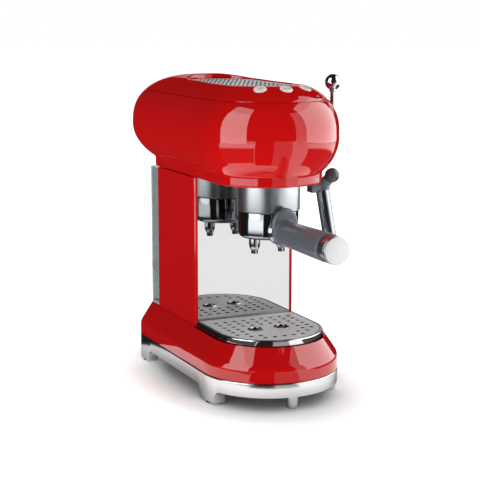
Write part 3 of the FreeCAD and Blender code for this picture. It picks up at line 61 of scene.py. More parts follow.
UP, AHEAD, RIGHT = (0, 0, 1), (0, -1, 0), (1, 0, 0)

# Points along a plan outline: round front, each side, each rear corner, rear
FRONT_STEPS, SIDE_STEPS, CORNER_STEPS, REAR_STEPS = 128, 12, 20, 12
# Rings from the collar to the seam, and from the seam to the recess
BELLY_STEPS, DOME_STEPS = 24, 30
# Share of a profile's side that one rounded corner may take
CORNER_SHARE = 0.49
# Edges that turn more than this many degrees stay sharp
SHARP = 35

# Places read from the frame, in metres
HEAD_LOW, HEAD_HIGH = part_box("head_shell")
HEAD_HALF = HEAD_HIGH.x
HEAD_Y = HEAD_LOW.y + HEAD_HALF
HEAD_REAR = HEAD_HIGH.y
NECK_Z, SEAM_Z = HEAD_LOW.z, HEAD_HIGH.z
WARMER_LOW, WARMER_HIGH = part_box("cup_warmer_grid")
SKIRT_LOW, SKIRT_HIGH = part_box("rear_base_shell")
TRAY_LOW, TRAY_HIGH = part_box("tray_front_shell")
RIM_LOW, RIM_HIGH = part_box("tray_rim")
FRAME_LOW, FRAME_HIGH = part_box("base_frame")
GRID_LOW, GRID_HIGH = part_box("tray_grid")
BASE_HALF = FRAME_HIGH.x
BASE_Y = FRAME_LOW.y + BASE_HALF
JOINTS = {joint["name"]: joint for joint in frame["joints"]}

# Gaps and clearances
SEAM_GAP = 0.15 * MM
SKIRT_GAP = 0.1 * MM
WARMER_PLAY = 0.3 * MM
WELL_DROP, WELL_DEPTH = 0.02 * MM, 2 * MM
BUTTON_RADIUS, BUTTON_PLAY = 6.65 * MM, 0.3 * MM


def length(name, description, millimetres):
    """A size that a user would change."""
    return bpy.props.FloatProperty(
        name=name, description=description, default=millimetres * MM, unit="LENGTH"
    )


def linear(code):
    """Linear colour from an sRGB hex value."""
    channels = [int(code[i : i + 2], 16) / 255 for i in (1, 3, 5)]
    return tuple(c / 12.92 if c <= 0.04045 else ((c + 0.055) / 1.055) ** 2.4 for c in channels)


def colour(name, description, code):
    """A colour that a user would change."""
    return bpy.props.FloatVectorProperty(
        name=name, description=description, subtype="COLOR", size=3, min=0, max=1, default=linear(code)
    )


class MachineSizes(bpy.types.PropertyGroup):
    """Sizes of the smooth skins that the frame's boxes don't give."""

    wide_height: length("Widest line", "Height where the head is widest", 272.5)
    crown_height: length("Crown", "Height of the dome's crown", 328.5)
    collar_height: length("Collar", "Top of the upright collar under the bulge", 236)
    belly_radius: length("Belly", "Curve of the bulge below its widest line", 47)
    rear_corner: length("Rear corner", "Plan radius of the head's rear corners", 35)
    rear_draw: bpy.props.FloatProperty(
        name="Rear draw", description="Draw of the bulge at the rear against the sides", default=1.9
    )
    dome_fullness: bpy.props.FloatProperty(
        name="Dome fullness", description="Power of the dome's curve, 2 is an ellipse", default=2.5
    )
    rim_level: length("Rim level", "Height of the recess rim at the front", 324.1)
    ease_front: length("Ease front", "Where the crown has come down to the rim level", 20)
    ease_rear: length("Ease rear", "Where the crown keeps its full height", 130)
    ease_blend: length("Ease blend", "Softness of the eased crown", 0.6)
    sheet: length("Sheet", "Thickness of the perforated sheets", 0.25)
    head_skin: length("Head skin", "Sheet thickness of head and skirt", 2.2)
    seam: length("Seam", "Rolled edge at the seams", 0.6)
    recess_rim: length("Recess rim", "Rounding of the cup-warmer recess", 1.6)
    band: length("Skirt band", "Height of the skirt's upright band", 15)
    shoulder_half: length("Shoulder", "Half-width at the top of the skirt", 59)
    skirt_corner: length("Skirt corner", "Plan radius of the base's rear corners", 12)
    frame_ledge: length("Ledge", "Width of the frame's ledge", 12)
    frame_wall: length("Frame wall", "Frame beside the base plate", 5)
    plate: length("Base plate", "Base plate between the frame's walls", 4)
    arch_height: length("Arch", "Underside of the frame between the legs", 15.5)
    arch_round: length("Arch rounding", "Where an arch meets a leg", 10)
    front_leg: length("Front leg", "Front end of the front legs", -60)
    front_leg_back: length("Front leg back", "Rear end of the front legs", -29)
    rear_leg: length("Rear leg", "Front end of the rear legs", 120)
    rear_arch: length("Rear arch", "Half-width of the arch at the rear", 50)


class MachineColours(bpy.types.PropertyGroup):
    """Colours of the machine's finishes."""

    enamel: colour("Enamel", "Red enamel of head, column and base", "#C90E10")
    chrome: colour("Chrome", "Bright chrome plating", "#C9C9CB")
    nickel: colour("Nickel", "Bright nickel of the portafilter", "#A2A6AA")
    dull: colour("Satin nickel", "Sleeve of the steam wand", "#8F9397")
    satin: colour("Satin chrome", "Satin chrome of the base frame", "#D2D2D2")
    mirror: colour("Mirror steel", "Polished panel behind the cups", "#BABABA")
    steel: colour("Brushed steel", "Drain grid, cup warmer and filter", "#DDDFE1")
    turned: colour("Turned steel", "Group that holds the portafilter", "#A6A9AC")
    zinc: colour("Zinc plate", "Inner plates and screws", "#A9ABAF")
    grip: colour("Grey plastic", "Handle and swivel", "#5C636C")
    knob: colour("Dark grey plastic", "Thumb knob of the wand", "#3E474B")
    button: colour("Button plastic", "Push buttons", "#F2F1EA")
    icon: colour("Icon ink", "Marks on the buttons", "#6F7478")
    black: colour("Black plastic", "Tub, pump, rocker", "#1B1C1E")
    smoke: colour("Smoked plastic", "Water tank", "#A9B0B0")
    rubber: colour("Rubber", "Pads, gasket and hose", "#18181A")
    aluminium: colour("Cast aluminium", "Thermoblock", "#A6A7A9")
    brass: colour("Brass", "Valve and thermostats", "#B99555")
    lacquer: colour("Board lacquer", "Control board", "#14502B")
    floor: colour("Floor", "Pale studio floor", "#F4F4F4")


def sizes():
    """Sizes set in the scene."""
    return bpy.context.scene.machine_sizes


def colours():
    """Colours set in the scene."""
    return bpy.context.scene.machine_colours


# Materials


def add(tree, kind, inputs=None, **settings):
    """Adds a node; inputs maps sockets to values or to the outputs that feed them."""
    node = tree.nodes.new(kind)
    for name, value in settings.items():
        setattr(node, name, value)
    for name, value in (inputs or {}).items():
        if isinstance(value, bpy.types.NodeSocket):
            tree.links.new(value, node.inputs[name])
        else:
            node.inputs[name].default_value = value
    return node


def per_metre(millimetres):
    """Texture scale whose features are about this large."""
    return 1000 / millimetres


def surface(name, base, **sockets):
    """New material whose shader holds the given values on its own sockets."""
    material = bpy.data.materials.new(name)
    material.use_nodes = True
    shader = material.node_tree.nodes["Principled BSDF"]
    shader.inputs["Base Color"].default_value = (*base, 1)
    for socket, value in sockets.items():
        shader.inputs[socket.replace("_", " ")].default_value = value
    return material, material.node_tree, shader


def red_enamel():
    """Fired enamel: deep even red under a glassy skin, with a faint orange-peel wave."""
    red = colours().enamel
    material, tree, shader = surface(
        "red enamel",
        red,
        Roughness=0.42,
        Specular_IOR_Level=0.0,
        Coat_Weight=1.0,
        Coat_Roughness=0.015,
        Coat_IOR=1.62,
    )
    place = add(tree, "ShaderNodeTexCoord").outputs
    cloud = {"Vector": place["Object"], "Scale": per_metre(40), "Detail": 2.0}
    cloud = add(tree, "ShaderNodeTexNoise", cloud).outputs["Fac"]
    deep = tuple(c * 0.93 for c in red)
    shades = {"Factor": cloud, "A": (*red, 1), "B": (*deep, 1)}
    tone = add(tree, "ShaderNodeMix", shades, data_type="RGBA")
    tree.links.new(tone.outputs["Result"], shader.inputs["Base Color"])
    peel = {"Vector": place["Object"], "Scale": per_metre(6), "Detail": 1.0}
    peel = add(tree, "ShaderNodeTexNoise", peel).outputs["Fac"]
    wave = add(tree, "ShaderNodeBump", {"Height": peel, "Strength": 0.03, "Distance": 0.1 * MM})
    tree.links.new(wave.outputs["Normal"], shader.inputs["Coat Normal"])
    # Painted shade: the coat's reflection is cut on upward faces, so the flat top keeps a deep red
    # while the flanks mirror the lamps
    facing = add(tree, "ShaderNodeSeparateXYZ", {0: place["Normal"]}).outputs["Z"]
    shaded_top = {"Value": facing, "From Min": 0.6, "From Max": 0.97, "To Min": 1.0, "To Max": 0.3}
    gloss = add(tree, "ShaderNodeMapRange", shaded_top)
    tree.links.new(gloss.outputs["Result"], shader.inputs["Coat Weight"])
    return material


def polished(name, base, low, high, patch):
    """Plated or polished metal: reflections that darken at the edges, dulled in faint wiped patches."""
    edge = (0.32, 0.32, 0.33, 1)
    material, tree, shader = surface(name, base, Metallic=1.0, Roughness=low, Specular_Tint=edge)
    place = add(tree, "ShaderNodeTexCoord").outputs["Object"]
    smear = {"Vector": place, "Scale": per_metre(patch), "Detail": 2.0}
    smear = add(tree, "ShaderNodeTexNoise", smear).outputs["Fac"]
    rough = add(tree, "ShaderNodeMapRange", {"Value": smear, "To Min": low, "To Max": high})
    tree.links.new(rough.outputs["Result"], shader.inputs["Roughness"])
    return material


def bright_chrome():
    """Bright chrome: nearly a mirror, with faint wiped patches."""
    return polished("bright chrome", colours().chrome, 0.03, 0.09, 9)


def bright_nickel():
    """Bright nickel: a darker mirror than chrome."""
    return polished("bright nickel", colours().nickel, 0.04, 0.1, 9)


def satin_nickel():
    """Satin nickel: grey metal with one soft highlight along the sleeve."""
    return polished("satin nickel", colours().dull, 0.2, 0.26, 15)


def satin_chrome():
    """Satin chrome: pale casting whose reflections are a little blurred."""
    return polished("satin chrome", colours().satin, 0.12, 0.17, 40)


def satin_cap():
    """Satin end of the handle: reflections blurred to soft bands."""
    return polished("satin cap", colours().chrome, 0.24, 0.32, 20)


def mirror_steel():
    """Mirror steel: the clearest reflections of the machine."""
    return polished("mirror steel", colours().mirror, 0.02, 0.05, 30)


def zinc_plate():
    """Zinc plate: dull grey metal in small cloudy patches."""
    return polished("zinc plate", colours().zinc, 0.34, 0.5, 5)


def cast_aluminium():
    """Cast aluminium: pale rough metal with the fine patches of a casting."""
    return polished("cast aluminium", colours().aluminium, 0.45, 0.65, 2)


def machined_brass():
    """Machined brass: yellow metal with a soft sheen."""
    return polished("machined brass", colours().brass, 0.22, 0.36, 4)


def brushed(name, base, stretch, low, high, metallic=1.0):
    """Brushed steel: fine straight lines that draw the highlight across them, coarse enough to show."""
    material, tree, shader = surface(name, base, Metallic=metallic, Roughness=low, Anisotropic=0.4)
    place = add(tree, "ShaderNodeTexCoord").outputs["Object"]
    along = add(tree, "ShaderNodeMapping", {"Vector": place, "Scale": stretch}).outputs["Vector"]
    # Real lines are some hundredths of a millimetre wide, too fine to show
    line = {"Vector": along, "Scale": per_metre(0.6), "Detail": 3.0}
    line = add(tree, "ShaderNodeTexNoise", line).outputs["Fac"]
    rough = add(tree, "ShaderNodeMapRange", {"Value": line, "To Min": low, "To Max": high})
    tree.links.new(rough.outputs["Result"], shader.inputs["Roughness"])
    groove = add(tree, "ShaderNodeBump", {"Height": line, "Strength": 0.12, "Distance": 0.05 * MM})
    tree.links.new(groove.outputs["Normal"], shader.inputs["Normal"])
    return material


def brushed_sheet():
    """Brushed sheet: pale matt steel with fine lines from side to side."""
    return brushed("brushed steel sheet", colours().steel, (0.02, 1.0, 1.0), 0.3, 0.45, 0.3)


def turned_steel():
    """Turned steel: fine rings round the group that draw its highlight upright."""
    return brushed("turned steel", colours().turned, (0.05, 0.05, 1.0), 0.24, 0.34)


def moulded(name, base, roughness, grain, strength):
    """Moulded plastic: an even colour broken by the fine spark grain of the mould."""
    material, tree, shader = surface(name, base, Roughness=roughness)
    place = add(tree, "ShaderNodeTexCoord").outputs["Object"]
    # Real grain is about a tenth of a millimetre, too fine to show
    grit = {"Vector": place, "Scale": per_metre(grain), "Detail": 2.0}
    grit = add(tree, "ShaderNodeTexNoise", grit).outputs["Fac"]
    pits = add(tree, "ShaderNodeBump", {"Height": grit, "Strength": strength, "Distance": 0.1 * MM})
    tree.links.new(pits.outputs["Normal"], shader.inputs["Normal"])
    limits = {"Value": grit, "To Min": roughness - 0.05, "To Max": roughness + 0.05}
    rough = add(tree, "ShaderNodeMapRange", limits)
    tree.links.new(rough.outputs["Result"], shader.inputs["Roughness"])
    return material


def grey_abs():
    """Grey plastic of handle and swivel: half glossy with hardly any grain."""
    return moulded("grey ABS", colours().grip, 0.27, 0.7, 0.03)


def dark_abs():
    """Dark grey plastic of the thumb knob: half glossy with hardly any grain."""
    return moulded("dark grey ABS", colours().knob, 0.3, 0.7, 0.03)


def button_abs():
    """White plastic of the buttons: smooth and half glossy."""
    return moulded("white ABS", colours().button, 0.25, 1.5, 0.03)


def icon_ink():
    """Grey ink of the button marks: flat and a little rough."""
    return moulded("icon ink", colours().icon, 0.5, 1.0, 0.05)


def black_abs():
    """Black plastic: half matt with a grain that shows."""
    return moulded("black ABS", colours().black, 0.45, 0.7, 0.15)


def matt_rubber():
    """Rubber: nearly black, dull and grainy."""
    return moulded("matt rubber", colours().rubber, 0.75, 0.9, 0.2)


def board_lacquer():
    """Green lacquer of the control board: glossy over a coarse weave."""
    return moulded("board lacquer", colours().lacquer, 0.3, 2.5, 0.2)


def smoked_san():
    """Smoked SAN: clear grey plastic with soft moulding waves, seen through with a dull inside."""
    material, tree, shader = surface(
        "smoked SAN", colours().smoke, Roughness=0.06, IOR=1.3, Transmission_Weight=0.95
    )
    place = add(tree, "ShaderNodeTexCoord").outputs["Object"]
    flow = {"Vector": place, "Scale": per_metre(25), "Detail": 1.0}
    flow = add(tree, "ShaderNodeTexNoise", flow).outputs["Fac"]
    wave = add(tree, "ShaderNodeBump", {"Height": flow, "Strength": 0.06, "Distance": 0.5 * MM})
    tree.links.new(wave.outputs["Normal"], shader.inputs["Normal"])
    return material


FINISHES = {}


def finish(maker):
    """The material of a finish, made once."""
    if maker.__name__ not in FINISHES:
        FINISHES[maker.__name__] = maker()
    return FINISHES[maker.__name__]


NODE_FINISH = {
    red_enamel: ("column_shell",),
    mirror_steel: ("backsplash",),
    bright_chrome: ("front_foot", "lever_arm"),
    brushed_sheet: ("filter_basket", "shower_screen", "shower_screw"),
    zinc_plate: (
        "base_plate", "chassis_frame", "chassis_screws", "head_plate", "group_bolts", "pump_bracket",
        "steam_pipe", "pressure_pipe", "wand_pipe",
    ),
    grey_abs: ("wand_socket",),
    black_abs: (
        "tray_basin", "pump", "switch_frame", "power_rocker", "button_switches", "cord_gland",
        "tank_socket", "board_standoffs",
    ),
    smoked_san: ("water_tank",),
    matt_rubber: ("foot_pads", "group_gasket", "tank_hose"),
    cast_aluminium: ("thermoblock",),
    machined_brass: ("steam_valve", "thermostats"),
    board_lacquer: ("control_board",),
}


# Meshes


def soften(corners, steps=6, closed=False):
    """Profile with its corners rounded; a corner is (across, up, radius)."""
    points = []
    count = len(corners)
    for i, (across, up, radius) in enumerate(corners):
        here = Vector((across, up))
        if radius == 0 or (not closed and i in (0, count - 1)):
            points.append(here)
            continue
        before = Vector(corners[i - 1][:2]) - here
        after = Vector(corners[(i + 1) % count][:2]) - here
        reach = min(radius, CORNER_SHARE * before.length, CORNER_SHARE * after.length)
        start = here + before.normalized() * reach
        end = here + after.normalized() * reach
        for k in range(steps + 1):
            t = k / steps
            points.append(start * (1 - t) ** 2 + here * 2 * t * (1 - t) + end * t**2)
    return points


def plan(half, centre_y, rear, corner, z):
    """Closed plan outline with a round front, straight sides and rounded rear corners."""
    far, near = rear - corner, half - corner
    along = range(1, SIDE_STEPS)
    ring = []
    for i in range(FRONT_STEPS + 1):
        turn = math.pi * (1 + i / FRONT_STEPS)
        ring.append(Vector((half * math.cos(turn), centre_y + half * math.sin(turn), z)))
    ring += [Vector((half, centre_y + (far - centre_y) * i / SIDE_STEPS, z)) for i in along]
    for i in range(CORNER_STEPS + 1):
        turn = math.pi / 2 * i / CORNER_STEPS
        ring.append(Vector((near + corner * math.cos(turn), far + corner * math.sin(turn), z)))
    ring += [Vector((near * (1 - 2 * i / REAR_STEPS), rear, z)) for i in range(1, REAR_STEPS)]
    for i in range(CORNER_STEPS + 1):
        turn = math.pi / 2 * (1 + i / CORNER_STEPS)
        ring.append(Vector((-near + corner * math.cos(turn), far + corner * math.sin(turn), z)))
    ring += [Vector((-half, far + (centre_y - far) * i / SIDE_STEPS, z)) for i in along]
    return ring


def front_plan(half, centre_y, cut, z):
    """Open plan outline of the round front, up to a cut across the sides."""
    arc = plan(half, centre_y, cut + half, half / 2, z)[: FRONT_STEPS + 1]
    left, right = [], []
    for i in range(SIDE_STEPS):
        left.append(Vector((-half, cut + (centre_y - cut) * i / SIDE_STEPS, z)))
        right.append(Vector((half, centre_y + (cut - centre_y) * (i + 1) / SIDE_STEPS, z)))
    return left + arc + right


def rear_plan(half, cut, rear, corner, z):
    """Closed plan outline of the rear, from a cut across the sides."""
    ring = plan(half, cut, rear, corner, z)[FRONT_STEPS:]
    return ring + [Vector((-half, cut, z))]


def skin(rings, loop=True, wrap=False, caps=(False, False)):
    """Mesh through rings of points; wrap joins the last ring to the first."""
    mesh = bmesh.new()
    rows = [[mesh.verts.new(point) for point in ring] for ring in rings]
    count = len(rows[0])
    for lower, upper in zip(rows, rows[1:] + (rows[:1] if wrap else [])):
        for k in range(count if loop else count - 1):
            n = (k + 1) % count
            mesh.faces.new((lower[k], lower[n], upper[n], upper[k]))
    for row, wanted in zip((rows[0], rows[-1]), caps):
        if wanted:
            mesh.faces.new(row)
    return mesh


def lathe(profile, origin, axis, turns=96, wrap=False):
    """Mesh turned about an axis from (radius, height) points."""
    turn_to = Vector((0, 0, 1)).rotation_difference(Vector(axis)).to_matrix()
    steps = [math.tau * k / turns for k in range(turns)]
    rings = []
    for radius, height in profile:
        points = [Vector((radius * math.cos(a), radius * math.sin(a), height)) for a in steps]
        rings.append([Vector(origin) + turn_to @ point for point in points])
    return skin(rings, wrap=wrap)


def piece(name, mesh, material, sharp=SHARP):
    """Object at the origin from a built mesh, smooth between its sharp edges."""
    bmesh.ops.remove_doubles(mesh, verts=mesh.verts, dist=1e-6)
    bmesh.ops.recalc_face_normals(mesh, faces=mesh.faces)
    data = bpy.data.meshes.new(name)
    mesh.to_mesh(data)
    mesh.free()
    data.materials.append(material)
    data.shade_smooth()
    data.set_sharp_from_angle(angle=math.radians(sharp))
    item = bpy.data.objects.new(name, data)
    bpy.context.scene.collection.objects.link(item)
    return item


def turned(name, corners, at, axis, maker, steps=6, turns=96, closed=False, sharp=SHARP):
    """Piece turned about an axis from a profile with rounded corners."""
    mesh = lathe(soften(corners, steps, closed), at, axis, turns, closed)
    return piece(name, mesh, finish(maker), sharp)


def ball_profile(radius, steps):
    """Profile of a ball about its middle."""
    turns = [math.pi * k / steps for k in range(steps + 1)]
    return [(radius * math.sin(a), -radius * math.cos(a)) for a in turns]


def settle(item):
    """Turns an object's modifiers into its plain mesh."""
    view = bpy.context.evaluated_depsgraph_get()
    data = bpy.data.meshes.new_from_object(item.evaluated_get(view))
    old = item.data
    item.modifiers.clear()
    item.data = data
    data.name = item.name
    bpy.data.meshes.remove(old)
    data.shade_smooth()
    data.set_sharp_from_angle(angle=math.radians(SHARP))
    return item


def thicken(item, thickness):
    """Gives a skin its wall, inwards."""
    wall = item.modifiers.new("wall", "SOLIDIFY")
    wall.thickness = thickness
    wall.offset = -1
    wall.use_even_offset = True
    return settle(item)


def cut_away(item, cutters):
    """Cuts holes and slots, then drops the cutters."""
    for cutter in cutters:
        hole = item.modifiers.new("hole", "BOOLEAN")
        hole.operation = "DIFFERENCE"
        hole.solver = "EXACT"
        hole.object = cutter
    settle(item)
    for cutter in cutters:
        bpy.data.objects.remove(cutter)
    return item


def bevel(item, width, segments=2, angle=40):
    """Rounds the sharp edges of a piece."""
    edge = item.modifiers.new("edge", "BEVEL")
    edge.width = width
    edge.segments = segments
    edge.limit_method = "ANGLE"
    edge.angle_limit = math.radians(angle)
    return settle(item)


def prism(outline, shift):
    """Closed mesh from a flat outline moved along a direction."""
    return skin([outline, [point + Vector(shift) for point in outline]], caps=(True, True))


def keep(item, body, slot, *nodes):
    """Lets a piece ride on a body and stand for its nodes."""
    if nodes:
        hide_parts(*nodes)
    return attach(item, body)


# Head


def head_half(z):
    """Half-width of the head at a height."""
    size = sizes()
    if z < size.wide_height:
        drop = size.wide_height - z
        return HEAD_HALF - size.belly_radius + math.sqrt(size.belly_radius**2 - drop**2)
    rise = (z - size.wide_height) / (size.crown_height - size.wide_height)
    return HEAD_HALF * (1 - rise**size.dome_fullness) ** (1 / size.dome_fullness)


def head_ring(half, z):
    """Plan outline of the head where it has a half-width."""
    size = sizes()
    draw = size.rear_draw if z < size.wide_height else 1
    rear = HEAD_REAR - (HEAD_HALF - half) * draw
    return plan(half, HEAD_Y, rear, size.rear_corner * half / HEAD_HALF, z)


def dome_height(x, y):
    """Height of the dome over a plan point."""
    size = sizes()
    across, behind = abs(x), y - (HEAD_REAR - HEAD_HALF)
    straight = 1 - size.rear_corner / HEAD_HALF
    half = across
    if y <= HEAD_Y:
        half = math.hypot(across, y - HEAD_Y)
    elif behind > 0 and across <= straight * behind:
        half = behind
    elif behind > 0 and behind > straight * across:
        square = 2 * straight**2 - (1 - straight) ** 2
        middle = straight * (across + behind)
        half = (middle - math.sqrt(middle**2 - square * (across**2 + behind**2))) / square
    share = min(half / HEAD_HALF, 1) ** size.dome_fullness
    tall = size.crown_height - size.wide_height
    dome = size.wide_height + tall * (1 - share) ** (1 / size.dome_fullness)
    # The crown eases down to the grid's level towards the front, so that the grid shows over its rim
    back = min(max((y - size.ease_front) / (size.ease_rear - size.ease_front), 0), 1)
    cap = size.rim_level + (size.crown_height - size.rim_level) * back * back * (3 - 2 * back)
    blend = size.ease_blend
    return min(dome, cap) - blend * math.log(1 + math.exp(-abs(dome - cap) / blend))


def lever_slot():
    """Cutter for the slot that the steam lever tips in."""
    x, y, z = Vector(JOINTS["lever_tip"]["pos_m"])
    half, reach, swing, steps = 3 * MM, 36 * MM, math.radians(92), 8
    turns = [swing * k / steps for k in range(steps + 1)]
    corners = [(half, 0), (half, reach)]
    corners += [(-reach * math.sin(a), reach * math.cos(a)) for a in turns]
    corners.append((-half, -half))
    outline = [Vector((x - half, y + along, z + up)) for along, up in corners]
    return piece("lever slot", prism(outline, (2 * half, 0, 0)), finish(red_enamel))


def build_head():
    """Head shell: upright collar, bulged belly and the rolled edge at the seam."""
    size = sizes()
    collar = head_half(size.collar_height)
    corners = [
        (collar - 9 * MM, NECK_Z, 0),
        (collar, NECK_Z, 2.2 * MM),
        (collar, size.collar_height, 3 * MM),
    ]
    for k in range(1, BELLY_STEPS + 1):
        z = size.collar_height + (SEAM_Z - size.seam - size.collar_height) * k / BELLY_STEPS
        corners.append((head_half(z), z, 0))
    corners.append((corners[-1][0] - size.seam, SEAM_Z - SEAM_GAP, 0))
    rings = [head_ring(half, z) for half, z in soften(corners)]
    shell = piece("head_shell_skin", skin(rings, caps=(True, False)), finish(red_enamel))
    thicken(shell, size.head_skin)
    cut_away(shell, [lever_slot()])
    keep(shell, "machine", "red_enamel", "head_shell")


def button_frame(name):
    """Middle and outward axis of a push button."""
    axis = -Vector(JOINTS[name + "_press"]["axis"]).normalized()
    low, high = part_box(name + "_button")
    return (low + high) / 2, axis


def button_hole(name):
    """Cutter for the hole that a push button stands in."""
    middle, axis = button_frame(name)
    bore, reach = BUTTON_RADIUS + BUTTON_PLAY, 12 * MM
    profile = [(0, -reach), (bore, -reach), (bore, reach), (0, reach)]
    return piece("button hole", lathe(profile, middle, axis, 64), finish(red_enamel))


def build_cover():
    """Top cover: dome above the seam, recess of the cup warmer with a well painted near-black as shade,
    holes of the buttons.
    """
    size = sizes()
    half = WARMER_HIGH.x + WARMER_PLAY
    centre = WARMER_LOW.y - WARMER_PLAY + half
    rear = WARMER_HIGH.y + WARMER_PLAY
    start = head_half(SEAM_Z)
    seam_ring = head_ring(start, SEAM_Z)
    rim = size.recess_rim
    rim_ring = plan(half + rim, centre, rear + rim, half, 0)
    rings = [head_ring(start - size.seam, SEAM_Z + SEAM_GAP)]
    lowest = SEAM_Z + size.seam
    for k in range(1, DOME_STEPS + 1):
        ring = [a.lerp(b, k / DOME_STEPS) for a, b in zip(seam_ring, rim_ring)]
        rings.append([Vector((p.x, p.y, max(dome_height(p.x, p.y), lowest))) for p in ring])
    edge = rings[-1]
    # The rim rolls over into the recess: share of its rounding outwards and down
    for out, drop in ((0.45, 0.12), (0.12, 0.45), (0, 1)):
        ring = plan(half + rim * out, centre, rear + rim * out, half - rim * (1 - out), 0)
        rings.append([Vector((p.x, p.y, q.z - rim * drop)) for p, q in zip(ring, edge)])
    edge = plan(half, centre, rear, half - rim, WARMER_LOW.z - WELL_DROP)
    rings.append(edge)
    cover = piece("top_cover_skin", skin(rings), finish(red_enamel))
    # Painted shade: the well under the grid is near-black matt rubber, standing for the shade seen
    # through the holes
    well = piece("warmer_well_painted_shade", prism(edge, (0, 0, -WELL_DEPTH)), finish(matt_rubber))
    keep(well, "machine", "black_plastic")
    thicken(cover, size.head_skin)
    cut_away(cover, [button_hole(name) for name in ("one_cup", "two_cup", "steam")])
    keep(cover, "machine", "red_enamel", "top_cover")


# Base and tray


def skirt_band(low, crease):
    """Lower edge and upright band of a skirt."""
    size = sizes()
    return [
        (BASE_HALF - size.seam, low + SKIRT_GAP, 0),
        (BASE_HALF, low + size.seam, 0),
        (BASE_HALF, crease, 4 * MM),
    ]


def build_skirt():
    """Skirts of the base: the fixed rear and the front that draws out with the tray."""
    size = sizes()
    top, shoulder = SKIRT_HIGH.z, size.shoulder_half
    crease = SKIRT_LOW.z + size.band
    corners = skirt_band(SKIRT_LOW.z, crease)
    corners += [(shoulder, top, 1.2 * MM), (shoulder - 4 * MM, top, 0)]
    cut, far, corner = SKIRT_LOW.y, SKIRT_HIGH.y, size.skirt_corner
    rings = [rear_plan(half, cut, far, corner, z) for half, z in soften(corners, 8)]
    rear = piece("rear_base_skin", skin(rings, caps=(False, True)), finish(red_enamel))
    keep(thicken(rear, size.head_skin), "machine", "red_enamel", "rear_base_shell")
    rim_z = TRAY_HIGH.z
    slope = (BASE_HALF - shoulder) / (top - crease)
    corners = skirt_band(TRAY_LOW.z, crease)
    corners.append((BASE_HALF - slope * (rim_z - crease), rim_z, 0))
    rings = [front_plan(half, BASE_Y, TRAY_HIGH.y, z) for half, z in soften(corners, 8)]
    front = piece("tray_front_skin", skin(rings, loop=False), finish(red_enamel))
    keep(thicken(front, size.head_skin), "drip_tray", "red_enamel", "tray_front_shell")


def build_rim():
    """Bright rim of the tray, with the ledge that the drain grid lies on."""
    half, rear = RIM_HIGH.x, RIM_HIGH.y
    wall = half - GRID_HIGH.x - 0.3 * MM
    ledge = GRID_LOW.z
    low, top = RIM_LOW.z, RIM_HIGH.z
    inner = wall + 3 * MM
    corners = [
        (0, low, 0.5 * MM),
        (0, top, 1.3 * MM),
        (wall, top, 0.6 * MM),
        (wall, ledge, 0),
        (inner, ledge, 0.3 * MM),
        (inner, low, 0.3 * MM),
    ]
    rings = []
    for inset, z in soften(corners, 5, True):
        corner = max(3 * MM - inset, 0.6 * MM)
        rings.append(plan(half - inset, RIM_LOW.y + half, rear - inset, corner, z))
    rim = piece("tray_rim_band", skin(rings, wrap=True), finish(bright_chrome), 40)
    keep(rim, "drip_tray", "chrome", "tray_rim")


def arch_outline(low, high, across):
    """Outline of an arch between two legs; across turns (along, z) into a point."""
    size = sizes()
    reach, top = size.arch_round, size.arch_height
    corners = [(low, -10 * MM, 0), (low, top, reach), (high, top, reach), (high, -10 * MM, 0)]
    return [across(along, z) for along, z in soften(corners, 10)]


def build_base():
    """Cast frame of the base: a ring that arches between its legs."""
    size = sizes()
    low, top = FRAME_LOW.z, FRAME_HIGH.z
    corners = [
        (0, low, 0.8 * MM),
        (0, top, 1.2 * MM),
        (size.frame_wall, top, 0.4 * MM),
        (size.frame_wall, top - size.plate, 0),
        (size.frame_ledge, top - size.plate, 0.4 * MM),
        (size.frame_ledge, low, 0.8 * MM),
    ]
    rings = []
    for inset, z in soften(corners, 4, True):
        corner = max(size.skirt_corner - inset, 1 * MM)
        rings.append(plan(BASE_HALF - inset, BASE_Y, FRAME_HIGH.y - inset, corner, z))
    ring = piece("base_frame_casting", skin(rings, wrap=True), finish(satin_chrome), 40)
    # Reach of the arch cutters, past the frame on all sides
    side, ahead, behind = 0.1, -0.2, 0.2
    sides = arch_outline(size.front_leg_back, size.rear_leg, lambda y, z: Vector((-side, y, z)))
    front = arch_outline(ahead, size.front_leg, lambda y, z: Vector((-side, y, z)))
    rear = arch_outline(-size.rear_arch, size.rear_arch, lambda x, z: Vector((x, size.rear_leg, z)))
    cutters = [
        piece("side arches", prism(sides, (2 * side, 0, 0)), finish(satin_chrome)),
        piece("front arch", prism(front, (2 * side, 0, 0)), finish(satin_chrome)),
        piece("rear arch", prism(rear, (0, behind, 0)), finish(satin_chrome)),
    ]
    cut_away(ring, cutters)
    bevel(ring, 0.7 * MM, 3)
    keep(ring, "machine", "chrome", "base_frame")


# Perforated sheets


HOLE_INPUTS = (
    "Pitch", "Row", "Start", "Stagger", "Hole Length", "Hole Width", "Hole Turn", "Inside",
    "Front Centre", "Rear Centre", "Rear Limit", "Finger X", "Finger Y", "Finger Clear",
    "Bare Y", "Bare Radius", "Level",
)
HOLE_COLUMNS, HOLE_ROWS = 21, 41
# Rounding of a hole's corners: points on each, and radius as a share of its width
HOLE_CORNER_STEPS, HOLE_CORNER = 4, 0.499
